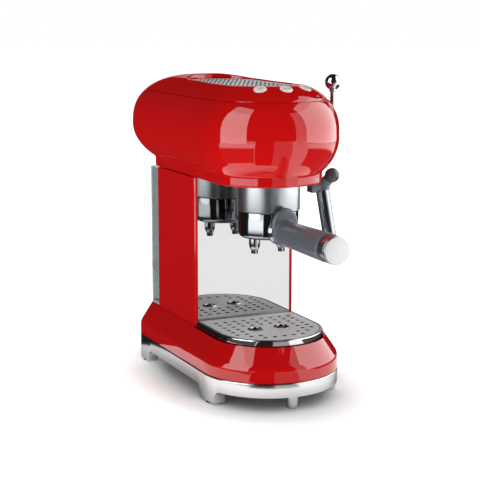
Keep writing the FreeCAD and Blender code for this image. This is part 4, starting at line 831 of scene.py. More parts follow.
# Where the holes lie: a result, how it is reckoned, and two values, each a number or the name of
# an input, of the lattice's index, x or y, or of an earlier result
HOLE_RULES = (
    # Every second row moves by its share of a pitch
    ("lattice width", "MULTIPLY", "Pitch", HOLE_COLUMNS - 1),
    ("lattice length", "MULTIPLY", "Row", HOLE_ROWS - 1),
    ("row number", "MODULO", "index", HOLE_ROWS),
    ("odd row", "MODULO", "row number", 2.0),
    ("step", "MULTIPLY", "Pitch", "Stagger"),
    ("aside", "MULTIPLY", "odd row", "step"),
    # Reach from the middle line of the sheet, round its front and rear centres
    ("across", "ABSOLUTE", "x", 0.0),
    ("from front", "SUBTRACT", "y", "Front Centre"),
    ("ahead", "MINIMUM", "from front", 0.0),
    ("from rear", "SUBTRACT", "y", "Rear Centre"),
    ("behind", "MAXIMUM", "from rear", 0.0),
    ("along", "ADD", "ahead", "behind"),
    ("along squared", "POWER", "along", 2.0),
    ("across squared", "POWER", "across", 2.0),
    ("reach squared", "ADD", "across squared", "along squared"),
    ("reach", "SQRT", "reach squared", 0.0),
    # Distance from the nearer finger hole
    ("finger across", "SUBTRACT", "across", "Finger X"),
    ("finger across squared", "POWER", "finger across", 2.0),
    ("finger along", "SUBTRACT", "y", "Finger Y"),
    ("finger along squared", "POWER", "finger along", 2.0),
    ("finger squared", "ADD", "finger across squared", "finger along squared"),
    ("finger", "SQRT", "finger squared", 0.0),
    # Distance from the middle of the bare disc
    ("bare along", "SUBTRACT", "y", "Bare Y"),
    ("bare along squared", "POWER", "bare along", 2.0),
    ("bare squared", "ADD", "across squared", "bare along squared"),
    ("bare", "SQRT", "bare squared", 0.0),
    # Only holes well inside the outline stay, none near the finger holes or in the bare disc
    ("past edge", "GREATER_THAN", "reach", "Inside"),
    ("past rear", "GREATER_THAN", "y", "Rear Limit"),
    ("past edge or rear", "MAXIMUM", "past edge", "past rear"),
    ("near finger", "LESS_THAN", "finger", "Finger Clear"),
    ("past or near", "MAXIMUM", "past edge or rear", "near finger"),
    ("in bare disc", "LESS_THAN", "bare", "Bare Radius"),
    ("left out", "MAXIMUM", "past or near", "in bare disc"),
    ("corner", "MULTIPLY", "Hole Width", HOLE_CORNER),
)


def perforation_tree():
    """Node tree that fills an outline and leaves rows of holes in it."""
    tree = bpy.data.node_groups.new("perforated sheet", "GeometryNodeTree")
    face = tree.interface
    face.new_socket("Geometry", in_out="INPUT", socket_type="NodeSocketGeometry")
    for name in HOLE_INPUTS:
        face.new_socket(name, in_out="INPUT", socket_type="NodeSocketFloat")
    face.new_socket("Material", in_out="INPUT", socket_type="NodeSocketMaterial")
    face.new_socket("Geometry", in_out="OUTPUT", socket_type="NodeSocketGeometry")
    given = add(tree, "NodeGroupInput").outputs
    place = add(tree, "GeometryNodeInputPosition").outputs[0]
    spot = add(tree, "ShaderNodeSeparateXYZ", {0: place}).outputs
    known = {name: given[name] for name in HOLE_INPUTS}
    known["index"] = add(tree, "GeometryNodeInputIndex").outputs[0]
    known["x"], known["y"] = spot["X"], spot["Y"]
    for result, operation, first, second in HOLE_RULES:
        values = {0: known.get(first, first), 1: known.get(second, second)}
        known[result] = add(tree, "ShaderNodeMath", values, operation=operation).outputs[0]
    spans = {
        "Size X": known["lattice width"],
        "Size Y": known["lattice length"],
        "Vertices X": HOLE_COLUMNS,
        "Vertices Y": HOLE_ROWS,
    }
    lattice = add(tree, "GeometryNodeMeshGrid", spans).outputs["Mesh"]
    shift = add(tree, "ShaderNodeCombineXYZ", {"X": known["aside"], "Y": given["Start"]})
    moved = {"Geometry": lattice, "Offset": shift.outputs[0]}
    lattice = add(tree, "GeometryNodeSetPosition", moved).outputs[0]
    thinned = {"Geometry": lattice, "Selection": known["left out"]}
    lattice = add(tree, "GeometryNodeDeleteGeometry", thinned).outputs[0]
    sides = {"Width": given["Hole Length"], "Height": given["Hole Width"]}
    hole = add(tree, "GeometryNodeCurvePrimitiveQuadrilateral", sides).outputs[0]
    ends = {"Curve": hole, "Count": HOLE_CORNER_STEPS, "Radius": known["corner"]}
    hole = add(tree, "GeometryNodeFilletCurve", ends, mode="POLY").outputs[0]
    turn = add(tree, "ShaderNodeCombineXYZ", {"Z": given["Hole Turn"]}).outputs[0]
    copies = {"Points": lattice, "Instance": hole, "Rotation": turn}
    holes = add(tree, "GeometryNodeInstanceOnPoints", copies).outputs[0]
    outline = add(tree, "GeometryNodeMeshToCurve", {"Mesh": given["Geometry"]}).outputs[0]
    holes = add(tree, "GeometryNodeRealizeInstances", {0: holes}).outputs[0]
    edges = add(tree, "GeometryNodeJoinGeometry")
    for curves in (outline, holes):
        tree.links.new(curves, edges.inputs[0])
    sheet = add(tree, "GeometryNodeFillCurve", {"Curve": edges.outputs[0]}).outputs[0]
    lift = add(tree, "ShaderNodeCombineXYZ", {"Z": given["Level"]}).outputs[0]
    sheet = add(tree, "GeometryNodeSetPosition", {"Geometry": sheet, "Offset": lift}).outputs[0]
    sheet = add(tree, "GeometryNodeRealizeInstances", {0: sheet}).outputs[0]
    coated = {"Geometry": sheet, "Material": given["Material"]}
    sheet = add(tree, "GeometryNodeSetMaterial", coated).outputs[0]
    add(tree, "NodeGroupOutput", {"Geometry": sheet})
    return tree


def perforate(name, outlines, values, thickness):
    """Thin sheet inside flat outlines, with rows of holes."""
    tree = bpy.data.node_groups.get("perforated sheet") or perforation_tree()
    mesh = bmesh.new()
    for outline in outlines:
        ring = [mesh.verts.new((point.x, point.y, 0)) for point in outline]
        for k, vertex in enumerate(ring):
            mesh.edges.new((vertex, ring[k - 1]))
    sheet = piece(name, mesh, finish(brushed_sheet))
    holes = sheet.modifiers.new("holes", "NODES")
    holes.node_group = tree
    inputs = [item for item in tree.interface.items_tree if item.in_out == "INPUT"]
    sockets = {item.name: item.identifier for item in inputs}
    for key in HOLE_INPUTS:
        holes[sockets[key]] = values.get(key, 0.0)
    holes[sockets["Material"]] = finish(brushed_sheet)
    settle(sheet)
    mesh = bmesh.new()
    mesh.from_mesh(sheet.data)
    bmesh.ops.remove_doubles(mesh, verts=mesh.verts, dist=1e-6)
    for face in mesh.faces:
        if face.normal.z < 0:
            face.normal_flip()
    mesh.to_mesh(sheet.data)
    mesh.free()
    return thicken(sheet, thickness)


def circle(x, y, radius, steps=48):
    """Flat outline of a round hole."""
    turns = [math.tau * k / steps for k in range(steps)]
    return [Vector((x + radius * math.cos(a), y + radius * math.sin(a), 0)) for a in turns]


# Drain grid: square rows of round holes, two finger holes and a bare disc
DRAIN_PITCH, DRAIN_ROW, DRAIN_HOLE = 10.7 * MM, 10.9 * MM, 5 * MM
FINGER_X, FINGER_Y = 15 * MM, -42 * MM
FINGER_RADIUS, FINGER_CLEAR = 5.5 * MM, 13.1 * MM
BARE_AHEAD, BARE_RADIUS = 10 * MM, 25 * MM
# Cup warmer: a thin sheet with short slots that lie along the slanted rows
WARMER_PITCH, WARMER_ROW = 5 * MM, 5 * MM
WARMER_SLOT, WARMER_HOLE = 4.5 * MM, 2.4 * MM
WARMER_SHEET = 0.05 * MM
# Places well past both sheets, for limits that one of them doesn't need
PAST_SHEETS, FAR_PAST_SHEETS = 1.0, 9.0


def build_drain():
    """Drain grid with the drawn lips of its finger holes."""
    half, rear, top = GRID_HIGH.x, GRID_HIGH.y, RIM_HIGH.z
    centre = GRID_LOW.y + half
    outlines = [plan(half, centre, rear, 2 * MM, 0)]
    outlines += [circle(side * FINGER_X, FINGER_Y, FINGER_RADIUS) for side in (-1, 1)]
    values = {
        "Pitch": DRAIN_PITCH,
        "Row": DRAIN_ROW,
        "Start": FINGER_Y - 37 * MM,
        "Hole Length": DRAIN_HOLE,
        "Hole Width": DRAIN_HOLE,
        "Inside": half - 7.6 * MM,
        "Front Centre": centre,
        "Rear Centre": PAST_SHEETS,
        "Rear Limit": rear - 7 * MM,
        "Finger X": FINGER_X,
        "Finger Y": FINGER_Y,
        "Finger Clear": FINGER_CLEAR,
        "Bare Y": FINGER_Y - BARE_AHEAD,
        "Bare Radius": BARE_RADIUS,
        "Level": top,
    }
    sheet = perforate("drain_sheet", outlines, values, sizes().sheet)
    keep(sheet, "drain_grid", "brushed_steel", "tray_grid")
    corners = [
        (FINGER_RADIUS - 0.6 * MM, -1.4 * MM, 0.2 * MM),
        (FINGER_RADIUS - 0.6 * MM, 0.5 * MM, 0.5 * MM),
        (FINGER_RADIUS + 0.9 * MM, 1.2 * MM, 0.8 * MM),
        (FINGER_RADIUS + 3.0 * MM, 0, 0),
        (FINGER_RADIUS + 0.4 * MM, -0.3 * MM, 0),
    ]
    for name, side in (("finger_lip_left", -1), ("finger_lip_right", 1)):
        at = (side * FINGER_X, FINGER_Y, top)
        lip = turned(name, corners, at, UP, bright_chrome, 5, 64, True)
        keep(lip, "drain_grid", "brushed_steel")


def build_warmer():
    """Perforated sheet of the cup warmer."""
    half, rear = WARMER_HIGH.x, WARMER_HIGH.y
    centre = WARMER_LOW.y + half
    values = {
        "Pitch": WARMER_PITCH,
        "Row": WARMER_ROW,
        "Start": (WARMER_LOW.y + rear) / 2,
        "Stagger": 0.5,
        "Hole Length": WARMER_SLOT,
        "Hole Width": WARMER_HOLE,
        "Hole Turn": math.atan2(WARMER_ROW, WARMER_PITCH / 2),
        "Inside": half - 6.3 * MM,
        "Front Centre": centre,
        "Rear Centre": rear - half,
        "Rear Limit": PAST_SHEETS,
        "Finger Y": FAR_PAST_SHEETS,
        "Level": WARMER_HIGH.z,
    }
    outline = plan(half, centre, rear, half - 0.5 * MM, 0)
    sheet = perforate("warmer_sheet", [outline], values, WARMER_SHEET)
    keep(sheet, "machine", "brushed_steel", "cup_warmer_grid")


# Group, portafilter and handle


def build_group():
    """Group bell that holds the portafilter."""
    low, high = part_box("group_head")
    centre = (low + high) / 2
    radius, bottom, top = high.x, low.z, high.z
    mouth, lock, hub = 28.3 * MM, 30.8 * MM, 3 * MM
    lip, roof = bottom + 3.7 * MM, bottom + 16.7 * MM
    corners = [
        (mouth, bottom, 0.3 * MM),
        (radius, bottom, 1.0 * MM),
        (radius, top, 0),
        (hub, top, 0),
        (hub, roof, 0),
        (lock, roof, 0),
        (lock, lip, 0),
        (mouth, lip, 0),
    ]
    at = Vector((centre.x, centre.y, 0))
    bell = turned("group_bell", corners, at, UP, turned_steel, 5, 128, True)
    keep(bell, "machine", "brushed_steel", "group_head")


def build_portafilter():
    """Portafilter: cup, stem towards the handle and two spouts."""
    low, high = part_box("group_head")
    centre, bottom = (low + high) / 2, low.z
    low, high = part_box("portafilter_body")
    foot, rim = low.z, high.z
    floor, shoulder = foot + 6 * MM, bottom - 0.3 * MM
    wide, neck, bore = 31.4 * MM, 28 * MM, 26.4 * MM
    corners = [
        (0, foot, 0),
        (wide, foot, 7 * MM),
        (wide, shoulder, 1.0 * MM),
        (neck, shoulder, 0),
        (neck, rim, 0.3 * MM),
        (bore, rim, 0.3 * MM),
        (bore, floor, 1 * MM),
        (0, floor, 0),
    ]
    at = Vector((centre.x, centre.y, 0))
    cup = turned("portafilter_cup", corners, at, UP, bright_nickel, 8, 128)
    end = -low.y + centre.y
    corners = [
        (14 * MM, 26.8 * MM, 0),
        (14 * MM, 30 * MM, 0),
        (10.2 * MM, 33.5 * MM, 3 * MM),
        (9.5 * MM, end, 0),
        (0, end, 0),
    ]
    low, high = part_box("handle_collar")
    at = Vector((0, centre.y, low.z / 2 + high.z / 2))
    stem = turned("portafilter_stem", corners, at, AHEAD, bright_nickel)
    keep(cup, "portafilter", "chrome", "portafilter_body")
    keep(stem, "portafilter", "chrome")
    low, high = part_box("spouts")
    wide, bore = 5.8 * MM, 2.5 * MM
    corners = [
        (bore, low.z, 0.3 * MM),
        (3.5 * MM, low.z, 0.4 * MM),
        (3.6 * MM, low.z + 4 * MM, 0.8 * MM),
        (4.4 * MM, low.z + 4.6 * MM, 0.5 * MM),
        (wide, low.z + 8.5 * MM, 2 * MM),
        (wide, high.z, 0),
        (bore, high.z, 0),
    ]
    for name, side, nodes in (("spout_left", -1, ("spouts",)), ("spout_right", 1, ())):
        at = (side * (high.x - wide), centre.y, 0)
        spout = turned(name, corners, at, UP, bright_nickel, 5, 48, True)
        keep(spout, "portafilter", "chrome", *nodes)


def build_handle():
    """Handle: grip with its oval guard, a groove painted dark as shade, end cap and collar."""
    low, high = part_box("handle_grip")
    cap_low, cap_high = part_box("handle_cap")
    middle = (cap_low.z + cap_high.z) / 2
    guard_half, guard_z = high.x, (low.z + high.z) / 2
    guard_tall = (high.z - low.z) / 2
    start, end = high.y, low.y
    slim, full, steps = 12.8 * MM, 14.3 * MM, 14
    turns = [math.tau * k / 96 for k in range(96)]
    drop = middle - guard_z

    def guard_radius(turn):
        """Reach of the oval guard from the grip's axis."""
        across, up = math.cos(turn), math.sin(turn)
        square = (across / guard_half) ** 2 + (up / guard_tall) ** 2
        half_slope = up * drop / guard_tall**2
        rest = (drop / guard_tall) ** 2 - 1
        return (math.sqrt(half_slope**2 - square * rest) - half_slope) / square

    def grip_ring(y, radii):
        """Ring about the grip's axis, with a radius at each turn."""
        around_axis = zip(turns, radii)
        return [Vector((r * math.cos(a), y, middle + r * math.sin(a))) for a, r in around_axis]

    # Millimetres from the back face, inset from the guard's edge or none past it, fillet on the grip
    stations = (
        (0, 3.2, 0), (0.25, 1.9, 0), (0.9, 0.8, 0), (1.9, 0.18, 0), (2.9, 0, 0), (3.7, 0, 0),
        (4.6, 0.18, 0), (5.6, 0.8, 0), (6.2, 1.7, 0), (6.5, 3.0, 1.4), (6.56, 6, 1.4),
        (6.62, None, 1.3), (6.9, None, 0.7), (7.4, None, 0.25), (8.2, None, 0), (11, None, 0),
    )
    edges = [guard_radius(turn) for turn in turns]
    least = slim - 1.0 * MM
    rings = []
    for back, inset, fillet in stations:
        foot = slim + fillet * MM
        if inset is None:
            radii = [max(min(foot, edge - 0.6 * MM), slim) for edge in edges]
        else:
            radii = [max(edge - inset * MM, min(foot, edge - 1.0 * MM), least) for edge in edges]
        rings.append(grip_ring(start - back * MM, radii))
    neck, tail = start - stations[-1][0] * MM, end + 1.2 * MM
    for k in range(1, steps + 1):
        share = k / steps
        radius = slim + (full - slim) * share**0.8
        rings.append(grip_ring(neck + (tail - neck) * share, [radius] * len(turns)))
    for back, inset in ((0.5, 0.25), (0.1, 0.8), (0, 1.6)):
        rings.append(grip_ring(end + back * MM, [full - inset * MM] * len(turns)))
    grip = piece("handle_grip_skin", skin(rings, caps=(True, True)), finish(grey_abs), 50)
    keep(grip, "portafilter", "grey_plastic", "handle_grip")
    at = Vector((0, cap_high.y, middle))
    long, wide = cap_high.y - cap_low.y, cap_high.x
    groove, core = 4.2 * MM, wide - 1.4 * MM
    profile = [(0, 0), (core, 0), (core, groove), (0, groove)]
    # Painted shade: the groove's core is black plastic, standing for the shade in the groove between
    # grip and cap
    ring = piece("handle_groove_painted_shade", lathe(profile, at, AHEAD), finish(black_abs))
    keep(ring, "portafilter", "black_plastic")
    line = wide - 1.1 * MM
    corners = [
        (0, groove, 0),
        (wide, groove, 0.8 * MM),
        (wide, long - 3.2 * MM, 0.5 * MM),
        (line, long - 2.9 * MM, 0.2 * MM),
        (line, long - 2.1 * MM, 0.2 * MM),
        (wide, long - 1.8 * MM, 0.5 * MM),
        (wide, long, 1.2 * MM),
        (0, long, 0),
    ]
    cap = turned("handle_end_cap", corners, at, AHEAD, satin_cap)
    keep(cap, "portafilter", "chrome", "handle_cap")
    low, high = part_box("handle_collar")
    wide, long, bore = high.x, high.y - low.y, 9.7 * MM
    corners = [
        (bore, 0, 0.3 * MM),
        (wide - 1.2 * MM, 0, 1.2 * MM),
        (wide, long * 0.5, 1.2 * MM),
        (wide - 0.6 * MM, long, 0.6 * MM),
        (bore, long, 0.3 * MM),
    ]
    at = Vector((0, high.y, middle))
    collar = turned("handle_collar_ring", corners, at, AHEAD, bright_chrome, 5, closed=True)
    keep(collar, "portafilter", "chrome", "handle_collar")


# Steam lever, steam wand and buttons


def build_lever():
    """Steam lever: bright ball and the ferrule under it."""
    low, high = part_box("lever_ball")
    centre = (low + high) / 2
    pivot = JOINTS["lever_tip"]["pos_m"]
    radius = high.x - centre.x
    middle = Vector((centre.x, centre.y, high.z - radius))
    mesh = lathe(ball_profile(radius, 48), middle, UP)
    ball = piece("lever_ball_bright", mesh, finish(bright_chrome), 60)
    keep(ball, "lever", "chrome", "lever_ball")
    under = centre.z - radius - pivot[2]
    bore, flange = 2.0 * MM, 3.6 * MM
    corners = [
        (bore, under - 16 * MM, 0),
        (2.8 * MM, under - 16 * MM, 0.3 * MM),
        (2.5 * MM, under - 2 * MM, 0.3 * MM),
        (flange, under - 1.4 * MM, 0.4 * MM),
        (flange, under + 1.2 * MM, 0),
        (bore, under + 1.2 * MM, 0),
    ]
    sleeve = turned("lever_ferrule", corners, pivot, UP, bright_chrome, 4, 48, True)
    keep(sleeve, "lever", "chrome")


def build_wand():
    """Steam wand: barrel in the head, collar, thumb knob on its neck and bright sleeve."""
    pivot = Vector(JOINTS["wand_swing"]["pos_m"])
    lean, tip = math.tan(math.radians(5.5)), math.tan(math.radians(10))
    axis = Vector((lean, -tip, -1)).normalized()
    top = pivot + Vector((8.1 * MM, 0, 0))
    inner, outer, wide = -5.5 * MM, 8 * MM, 6.6 * MM
    corners = [(0, inner, 0), (wide, inner, 0.4 * MM), (wide, outer, 0), (0, outer, 0)]
    barrel = turned("wand_barrel", corners, pivot, RIGHT, grey_abs)
    keep(barrel, "wand", "grey_plastic", "wand_swivel")
    crown, start, wide = -7.8 * MM, 4.6 * MM, 8.0 * MM
    corners = [(0, crown, 0), (wide, crown, 5 * MM), (wide, start, 0.6 * MM), (0, start, 0)]
    collar = turned("wand_collar", corners, top, axis, grey_abs, 10, sharp=50)
    keep(collar, "wand", "grey_plastic")
    middle = pivot + Vector((12.7, -13.5, 12.4)) * MM
    outward = (middle - top).normalized()
    mesh = lathe(ball_profile(7.7 * MM, 36), middle, outward)
    knob = piece("wand_thumb_knob", mesh, finish(dark_abs), 60)
    keep(knob, "wand", "grey_plastic")
    reach = (middle - top).length - 4 * MM
    profile = [(0, 0), (6.5 * MM, 0), (5.6 * MM, reach), (0, reach)]
    neck = piece("wand_knob_neck", lathe(profile, top, outward), finish(grey_abs))
    keep(neck, "wand", "grey_plastic")
    radius, mouth, bore = 7.1 * MM, 6.6 * MM, 3.3 * MM
    drop = top.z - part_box("wand_sleeve")[0].z
    end = (drop - mouth * math.sqrt(1 - axis.z**2)) / -axis.z
    corners = [
        (bore, start, 0),
        (radius, start, 0.5 * MM),
        (radius, end - 5 * MM, 0),
        (mouth, end - 4.4 * MM, 0.3 * MM),
        (mouth, end, 0.8 * MM),
        (bore, end, 0.4 * MM),
    ]
    sleeve = turned("wand_sleeve_bright", corners, top, axis, satin_nickel, 4, closed=True)
    keep(sleeve, "wand", "chrome", "wand_sleeve")


# Height and width of the button marks, in millimetres
MARK_RISE, MARK_LINE = 0.05, 0.42
BUTTON_HALF_LONG = 5.3 * MM


def ribbon(path, place):
    """Thin raised strip along a flat path on a button."""
    rings = []
    for i, point in enumerate(path):
        before, after = Vector(path[max(i - 1, 0)]), Vector(path[min(i + 1, len(path) - 1)])
        along = (after - before).normalized()
        side = Vector((-along.y, along.x)) * MARK_LINE / 2
        left, right = Vector(point) + side, Vector(point) - side
        corners = [(left, 0), (left, MARK_RISE), (right, MARK_RISE), (right, 0)]
        rings.append([place @ Vector((p.x * MM, p.y * MM, rise * MM)) for p, rise in corners])
    return skin(rings, caps=(True, True))


def cup_mark(shift, scale):
    """Paths of a small cup: bowl, handle and saucer."""
    bowl = [(-1.5, 1.1), (-1.4, -0.2), (-0.9, -0.9), (0.9, -0.9), (1.4, -0.2), (1.5, 1.1)]
    bowl.append(bowl[0])
    handle = [(1.45, 0.8), (2.3, 0.7), (2.3, -0.1), (1.4, -0.3)]
    saucer = [(-2.0, -1.6), (2.0, -1.6)]
    return [[(x * scale + shift, y * scale) for x, y in path] for path in (bowl, handle, saucer)]


def steam_mark():
    """Paths of three rising waves."""
    rows = [k / 10 for k in range(11)]
    return [[(x + 0.45 * math.sin(t * math.tau), 4 * t - 2) for t in rows] for x in (-1.5, 0, 1.5)]


def build_buttons():
    """Push buttons with their marks."""
    marks = {
        "one_cup": cup_mark(0, 1.1),
        "two_cup": cup_mark(-2.1, 0.8) + cup_mark(2.1, 0.8),
        "steam": steam_mark(),
    }
    face = BUTTON_HALF_LONG
    corners = [
        (0, -face, 0),
        (BUTTON_RADIUS, -face, 0),
        (BUTTON_RADIUS, face - 0.15 * MM, 0.9 * MM),
        (3 * MM, face, 0),
        (0, face, 0),
    ]
    for name, paths in marks.items():
        middle, axis = button_frame(name)
        cap = turned(name + "_cap", corners, middle, axis, button_abs, 6, 64, sharp=50)
        keep(cap, name + "_key", "white_plastic", name + "_button")
        right = Vector(RIGHT) - axis * axis.x
        right.normalize()
        place = Matrix((right, axis.cross(right), axis)).transposed().to_4x4()
        place.translation = middle + axis * (face - 0.02 * MM)
        mesh = bmesh.new()
        for path in paths:
            strip = ribbon(path, place)
            data = bpy.data.meshes.new("strip")
            strip.to_mesh(data)
            strip.free()
            mesh.from_mesh(data)
            bpy.data.meshes.remove(data)
        icon = piece(name + "_icon", mesh, finish(icon_ink))
        keep(icon, name + "_key", "grey_plastic")


# Pieces that keep their solid shape


def dress_nodes():
    """Gives every node that stays its finish."""
    for maker, nodes in NODE_FINISH.items():
        for node in nodes:
            data = frame["nodes"][node].data
            data.materials.clear()
            data.materials.append(finish(maker))


# Stage

# Radiance of the softboxes in reflections and of the floor near the machine, 1 is white
GLOSS_RADIANCE, FLOOR_RADIANCE = 2.4, 0.1
# Place in metres, angles in degrees, lens and sensor in millimetres
CAMERA_PLACE = (-0.59171, -1.25343, 0.40614)
CAMERA_DOWN, CAMERA_RIGHT = 10.177, 24.764
CAMERA_LENS, CAMERA_SENSOR = 99.16, 36
# Side lamps: turn round the machine in degrees and width in metres
SIDE_LAMPS = ((-78, 1.25), (76, 2.4))
SIDE_DISTANCE = 1.5
# Distance of the wall cards, height of the ceiling card, and height of cards that lie on the floor
WALL, TALL, LIFT = 2.6, 2.8, 0.5 * MM
# Name, finish, first and last turn in degrees, near and far distance, low and high edge in metres
CARDS = (
    ("front_wall_card", "black", -56, 20, WALL, WALL, 0, TALL),
    ("left_wall_card", "black", -185, -100, WALL, WALL, 0, TALL),
    ("rear_wall_card", "black", 113, 176, WALL, WALL, 0.95, TALL),
    ("right_wall_card", "black", 113, 138, WALL, WALL, 0, 0.6),
    ("right_floor_card", "black", 113, 138, 0.26, WALL, LIFT, LIFT),
    ("rear_floor_card", "black", 138, 176, 0.3, WALL, LIFT, LIFT),
    ("ceiling_card", "black", -180, 180, 0.001, WALL, TALL, TALL),
    ("front_floor_card", "black", -42, -14, 0.21, WALL, LIFT, LIFT),
    ("front_floor_grey", "grey", -14, 14, 0.21, WALL, LIFT, LIFT),
    ("left_floor_card", "black", -185, -101, 0.225, WALL, LIFT, LIFT),
    ("left_reflector", "bright", -104, -43, 0.25, 1.47, LIFT, LIFT),
    ("right_reflector", "bright", 40, 112, 0.25, 1.47, LIFT, LIFT),
)


def softbox(name, place, aim, width, height, radiance):
    """Large soft lamp that faces a point; radiance 1 is white."""
    data = bpy.data.lights.new(name, "AREA")
    data.shape = "RECTANGLE"
    data.size = width
    data.size_y = height
    data.energy = radiance * math.pi * width * height
    lamp = bpy.data.objects.new(name, data)
    lamp.location = place
    lamp.rotation_euler = (Vector(aim) - Vector(place)).to_track_quat("-Z", "Y").to_euler()
    bpy.context.scene.collection.objects.link(lamp)
    return lamp


def around(turn, distance, z):
    """Point round the machine; 0 degrees is the front, positive to the right."""
    a = math.radians(turn)
    return Vector((distance * math.sin(a), -distance * math.cos(a), z))


def build_stage():
    """Camera, floor, world, lamps and cards."""
    scene = bpy.context.scene
    scene.view_settings.view_transform = "Standard"
    data = bpy.data.cameras.new("camera")
    data.lens = CAMERA_LENS
    data.sensor_width = CAMERA_SENSOR
    data.clip_start = 0.05
    camera = bpy.data.objects.new("camera", data)
    camera.location = CAMERA_PLACE
    camera.rotation_euler = (math.radians(90 - CAMERA_DOWN), 0, math.radians(-CAMERA_RIGHT))
    scene.collection.objects.link(camera)
    scene.camera = camera
    build_floor()
    build_world()
    for turn, width in SIDE_LAMPS:
        place = around(turn, SIDE_DISTANCE, 1.6)
        box = softbox("reflected softbox", place, (0, 0, 1.6), width, 3.2, GLOSS_RADIANCE)
        box.visible_diffuse = False
        place = around(turn, SIDE_DISTANCE, 1.2)
        lamp = softbox("side lamp", place, (0, 0, 0.2), width, 2.0, 0.5)
        lamp.visible_glossy = False
    top = softbox("top lamp", (0, -0.3, 2.2), (0, 0, 0), 2.4, 2.4, 0.8)
    top.visible_glossy = False
    front = softbox("front lamp", around(-20, 2.6, 1.6), (0, 0, 0.2), 2.0, 1.6, 1.1)
    front.visible_glossy = False
    build_cards()


def glowing(name, base, **sockets):
    """Surface that mirrors nothing and glows white."""
    return surface(name, base, Specular_IOR_Level=0.0, Emission_Color=(1, 1, 1, 1), **sockets)


def build_floor():
    """Pale floor that glows white away from the machine."""
    mesh = bmesh.new()
    bmesh.ops.create_circle(mesh, cap_ends=True, segments=96, radius=12)
    material, tree, shader = glowing("studio floor", colours().floor, Roughness=0.9)
    # The glow starts outside the machine's long footprint and leaves its shadow
    place = add(tree, "ShaderNodeTexCoord").outputs["Object"]
    foot = {"Vector": place, "Location": (0, -0.012, 0), "Scale": (1, 0.62, 1)}
    oval = add(tree, "ShaderNodeMapping", foot)
    away = add(tree, "ShaderNodeVectorMath", {0: oval.outputs["Vector"]}, operation="LENGTH")
    glow = add(tree, "ShaderNodeValToRGB", {"Fac": away.outputs["Value"]})
    stops = glow.color_ramp.elements
    stops[0].position = 0.075
    stops.new(0.14).color = (0.85, 0.85, 0.85, 1)
    stops[2].position = 0.26
    tree.links.new(glow.outputs["Color"], shader.inputs["Emission Strength"])
    floor = piece("studio_floor", mesh, material)


def reflected_card(name, rings, material):
    """Card that only reflections show."""
    card = piece(name, skin(rings, loop=False), material)
    card.visible_camera = False
    card.visible_diffuse = False
    card.visible_transmission = False
    card.visible_shadow = False


def sector(first, last, near, far, low, high):
    """Two arcs round the machine between two turns."""
    turns = [first + (last - first) * k / 48 for k in range(49)]
    return [around(turn, near, low) for turn in turns], [around(turn, far, high) for turn in turns]


def build_cards():
    """Dark cards beside the softboxes, and bright ones that carry them on below the horizon."""
    bright, tree, shader = glowing("reflector", (0, 0, 0))
    place = add(tree, "ShaderNodeTexCoord").outputs["Object"]
    away = add(tree, "ShaderNodeVectorMath", {0: place}, operation="LENGTH")
    fade = {"From Min": 0.75, "From Max": 0.9, "To Min": FLOOR_RADIANCE, "To Max": GLOSS_RADIANCE}
    glow = add(tree, "ShaderNodeMapRange", {"Value": away.outputs["Value"], **fade})
    tree.links.new(glow.outputs["Result"], shader.inputs["Emission Strength"])
    finishes = {
        "black": glowing("black card", (0, 0, 0), Emission_Strength=0.02)[0],
        "grey": glowing("grey card", (0, 0, 0), Emission_Strength=0.5)[0],
        "bright": bright,
    }
    for name, kind, *edges in CARDS:
        reflected_card(name, sector(*edges), finishes[kind])


def build_world():
    """White behind the machine, and a low even fill on it."""
    world = bpy.data.worlds.new("studio")
    bpy.context.scene.world = world
    world.use_nodes = True
    tree = world.node_tree
    tree.nodes.clear()
    path = add(tree, "ShaderNodeLightPath").outputs
    seen = path["Is Camera Ray"]
    for ray in ("Is Glossy Ray", "Is Transmission Ray"):
        seen = add(tree, "ShaderNodeMath", {0: seen, 1: path[ray]}, operation="MAXIMUM").outputs[0]
    white = add(tree, "ShaderNodeBackground", {"Color": (1, 1, 1, 1), "Strength": 1.0})
    fill = add(tree, "ShaderNodeBackground", {"Color": (1, 1, 1, 1), "Strength": 0.22})
    mix = add(tree, "ShaderNodeMixShader", {0: seen, 1: fill.outputs[0], 2: white.outputs[0]})
    add(tree, "ShaderNodeOutputWorld", {"Surface": mix.outputs[0]})


# Operators and panel


class ESPRESSO_OT_dress_nodes(bpy.types.Operator):
    """Gives the pieces that keep their solid shape a finish."""

    bl_idname = "espresso.dress_nodes"
    bl_label = "Dress the solid pieces"
    bl_options = {"REGISTER", "UNDO"}

    def execute(self, context):
        dress_nodes()
        return {"FINISHED"}


class ESPRESSO_OT_head(bpy.types.Operator):
    """Builds the bulged shell of the head."""

    bl_idname = "espresso.head"
    bl_label = "Head shell"
    bl_options = {"REGISTER", "UNDO"}

    def execute(self, context):
        build_head()
        return {"FINISHED"}


class ESPRESSO_OT_cover(bpy.types.Operator):
    """Builds the domed cover with the cup warmer's well, painted dark as shade."""

    bl_idname = "espresso.cover"
    bl_label = "Top cover"
    bl_options = {"REGISTER", "UNDO"}

    def execute(self, context):
        build_cover()
        return {"FINISHED"}


class ESPRESSO_OT_skirt(bpy.types.Operator):
    """Builds the red skirts of base and tray."""

    bl_idname = "espresso.skirt"
    bl_label = "Base and tray skirts"
    bl_options = {"REGISTER", "UNDO"}

    def execute(self, context):
        build_skirt()
        return {"FINISHED"}


class ESPRESSO_OT_rim(bpy.types.Operator):
    """Builds the bright rim of the tray."""

    bl_idname = "espresso.rim"
    bl_label = "Tray rim"
    bl_options = {"REGISTER", "UNDO"}

    def execute(self, context):
        build_rim()
        return {"FINISHED"}


class ESPRESSO_OT_base(bpy.types.Operator):
    """Builds the cast frame with its legs."""

    bl_idname = "espresso.base"
    bl_label = "Base frame"
    bl_options = {"REGISTER", "UNDO"}

    def execute(self, context):
        build_base()
        return {"FINISHED"}


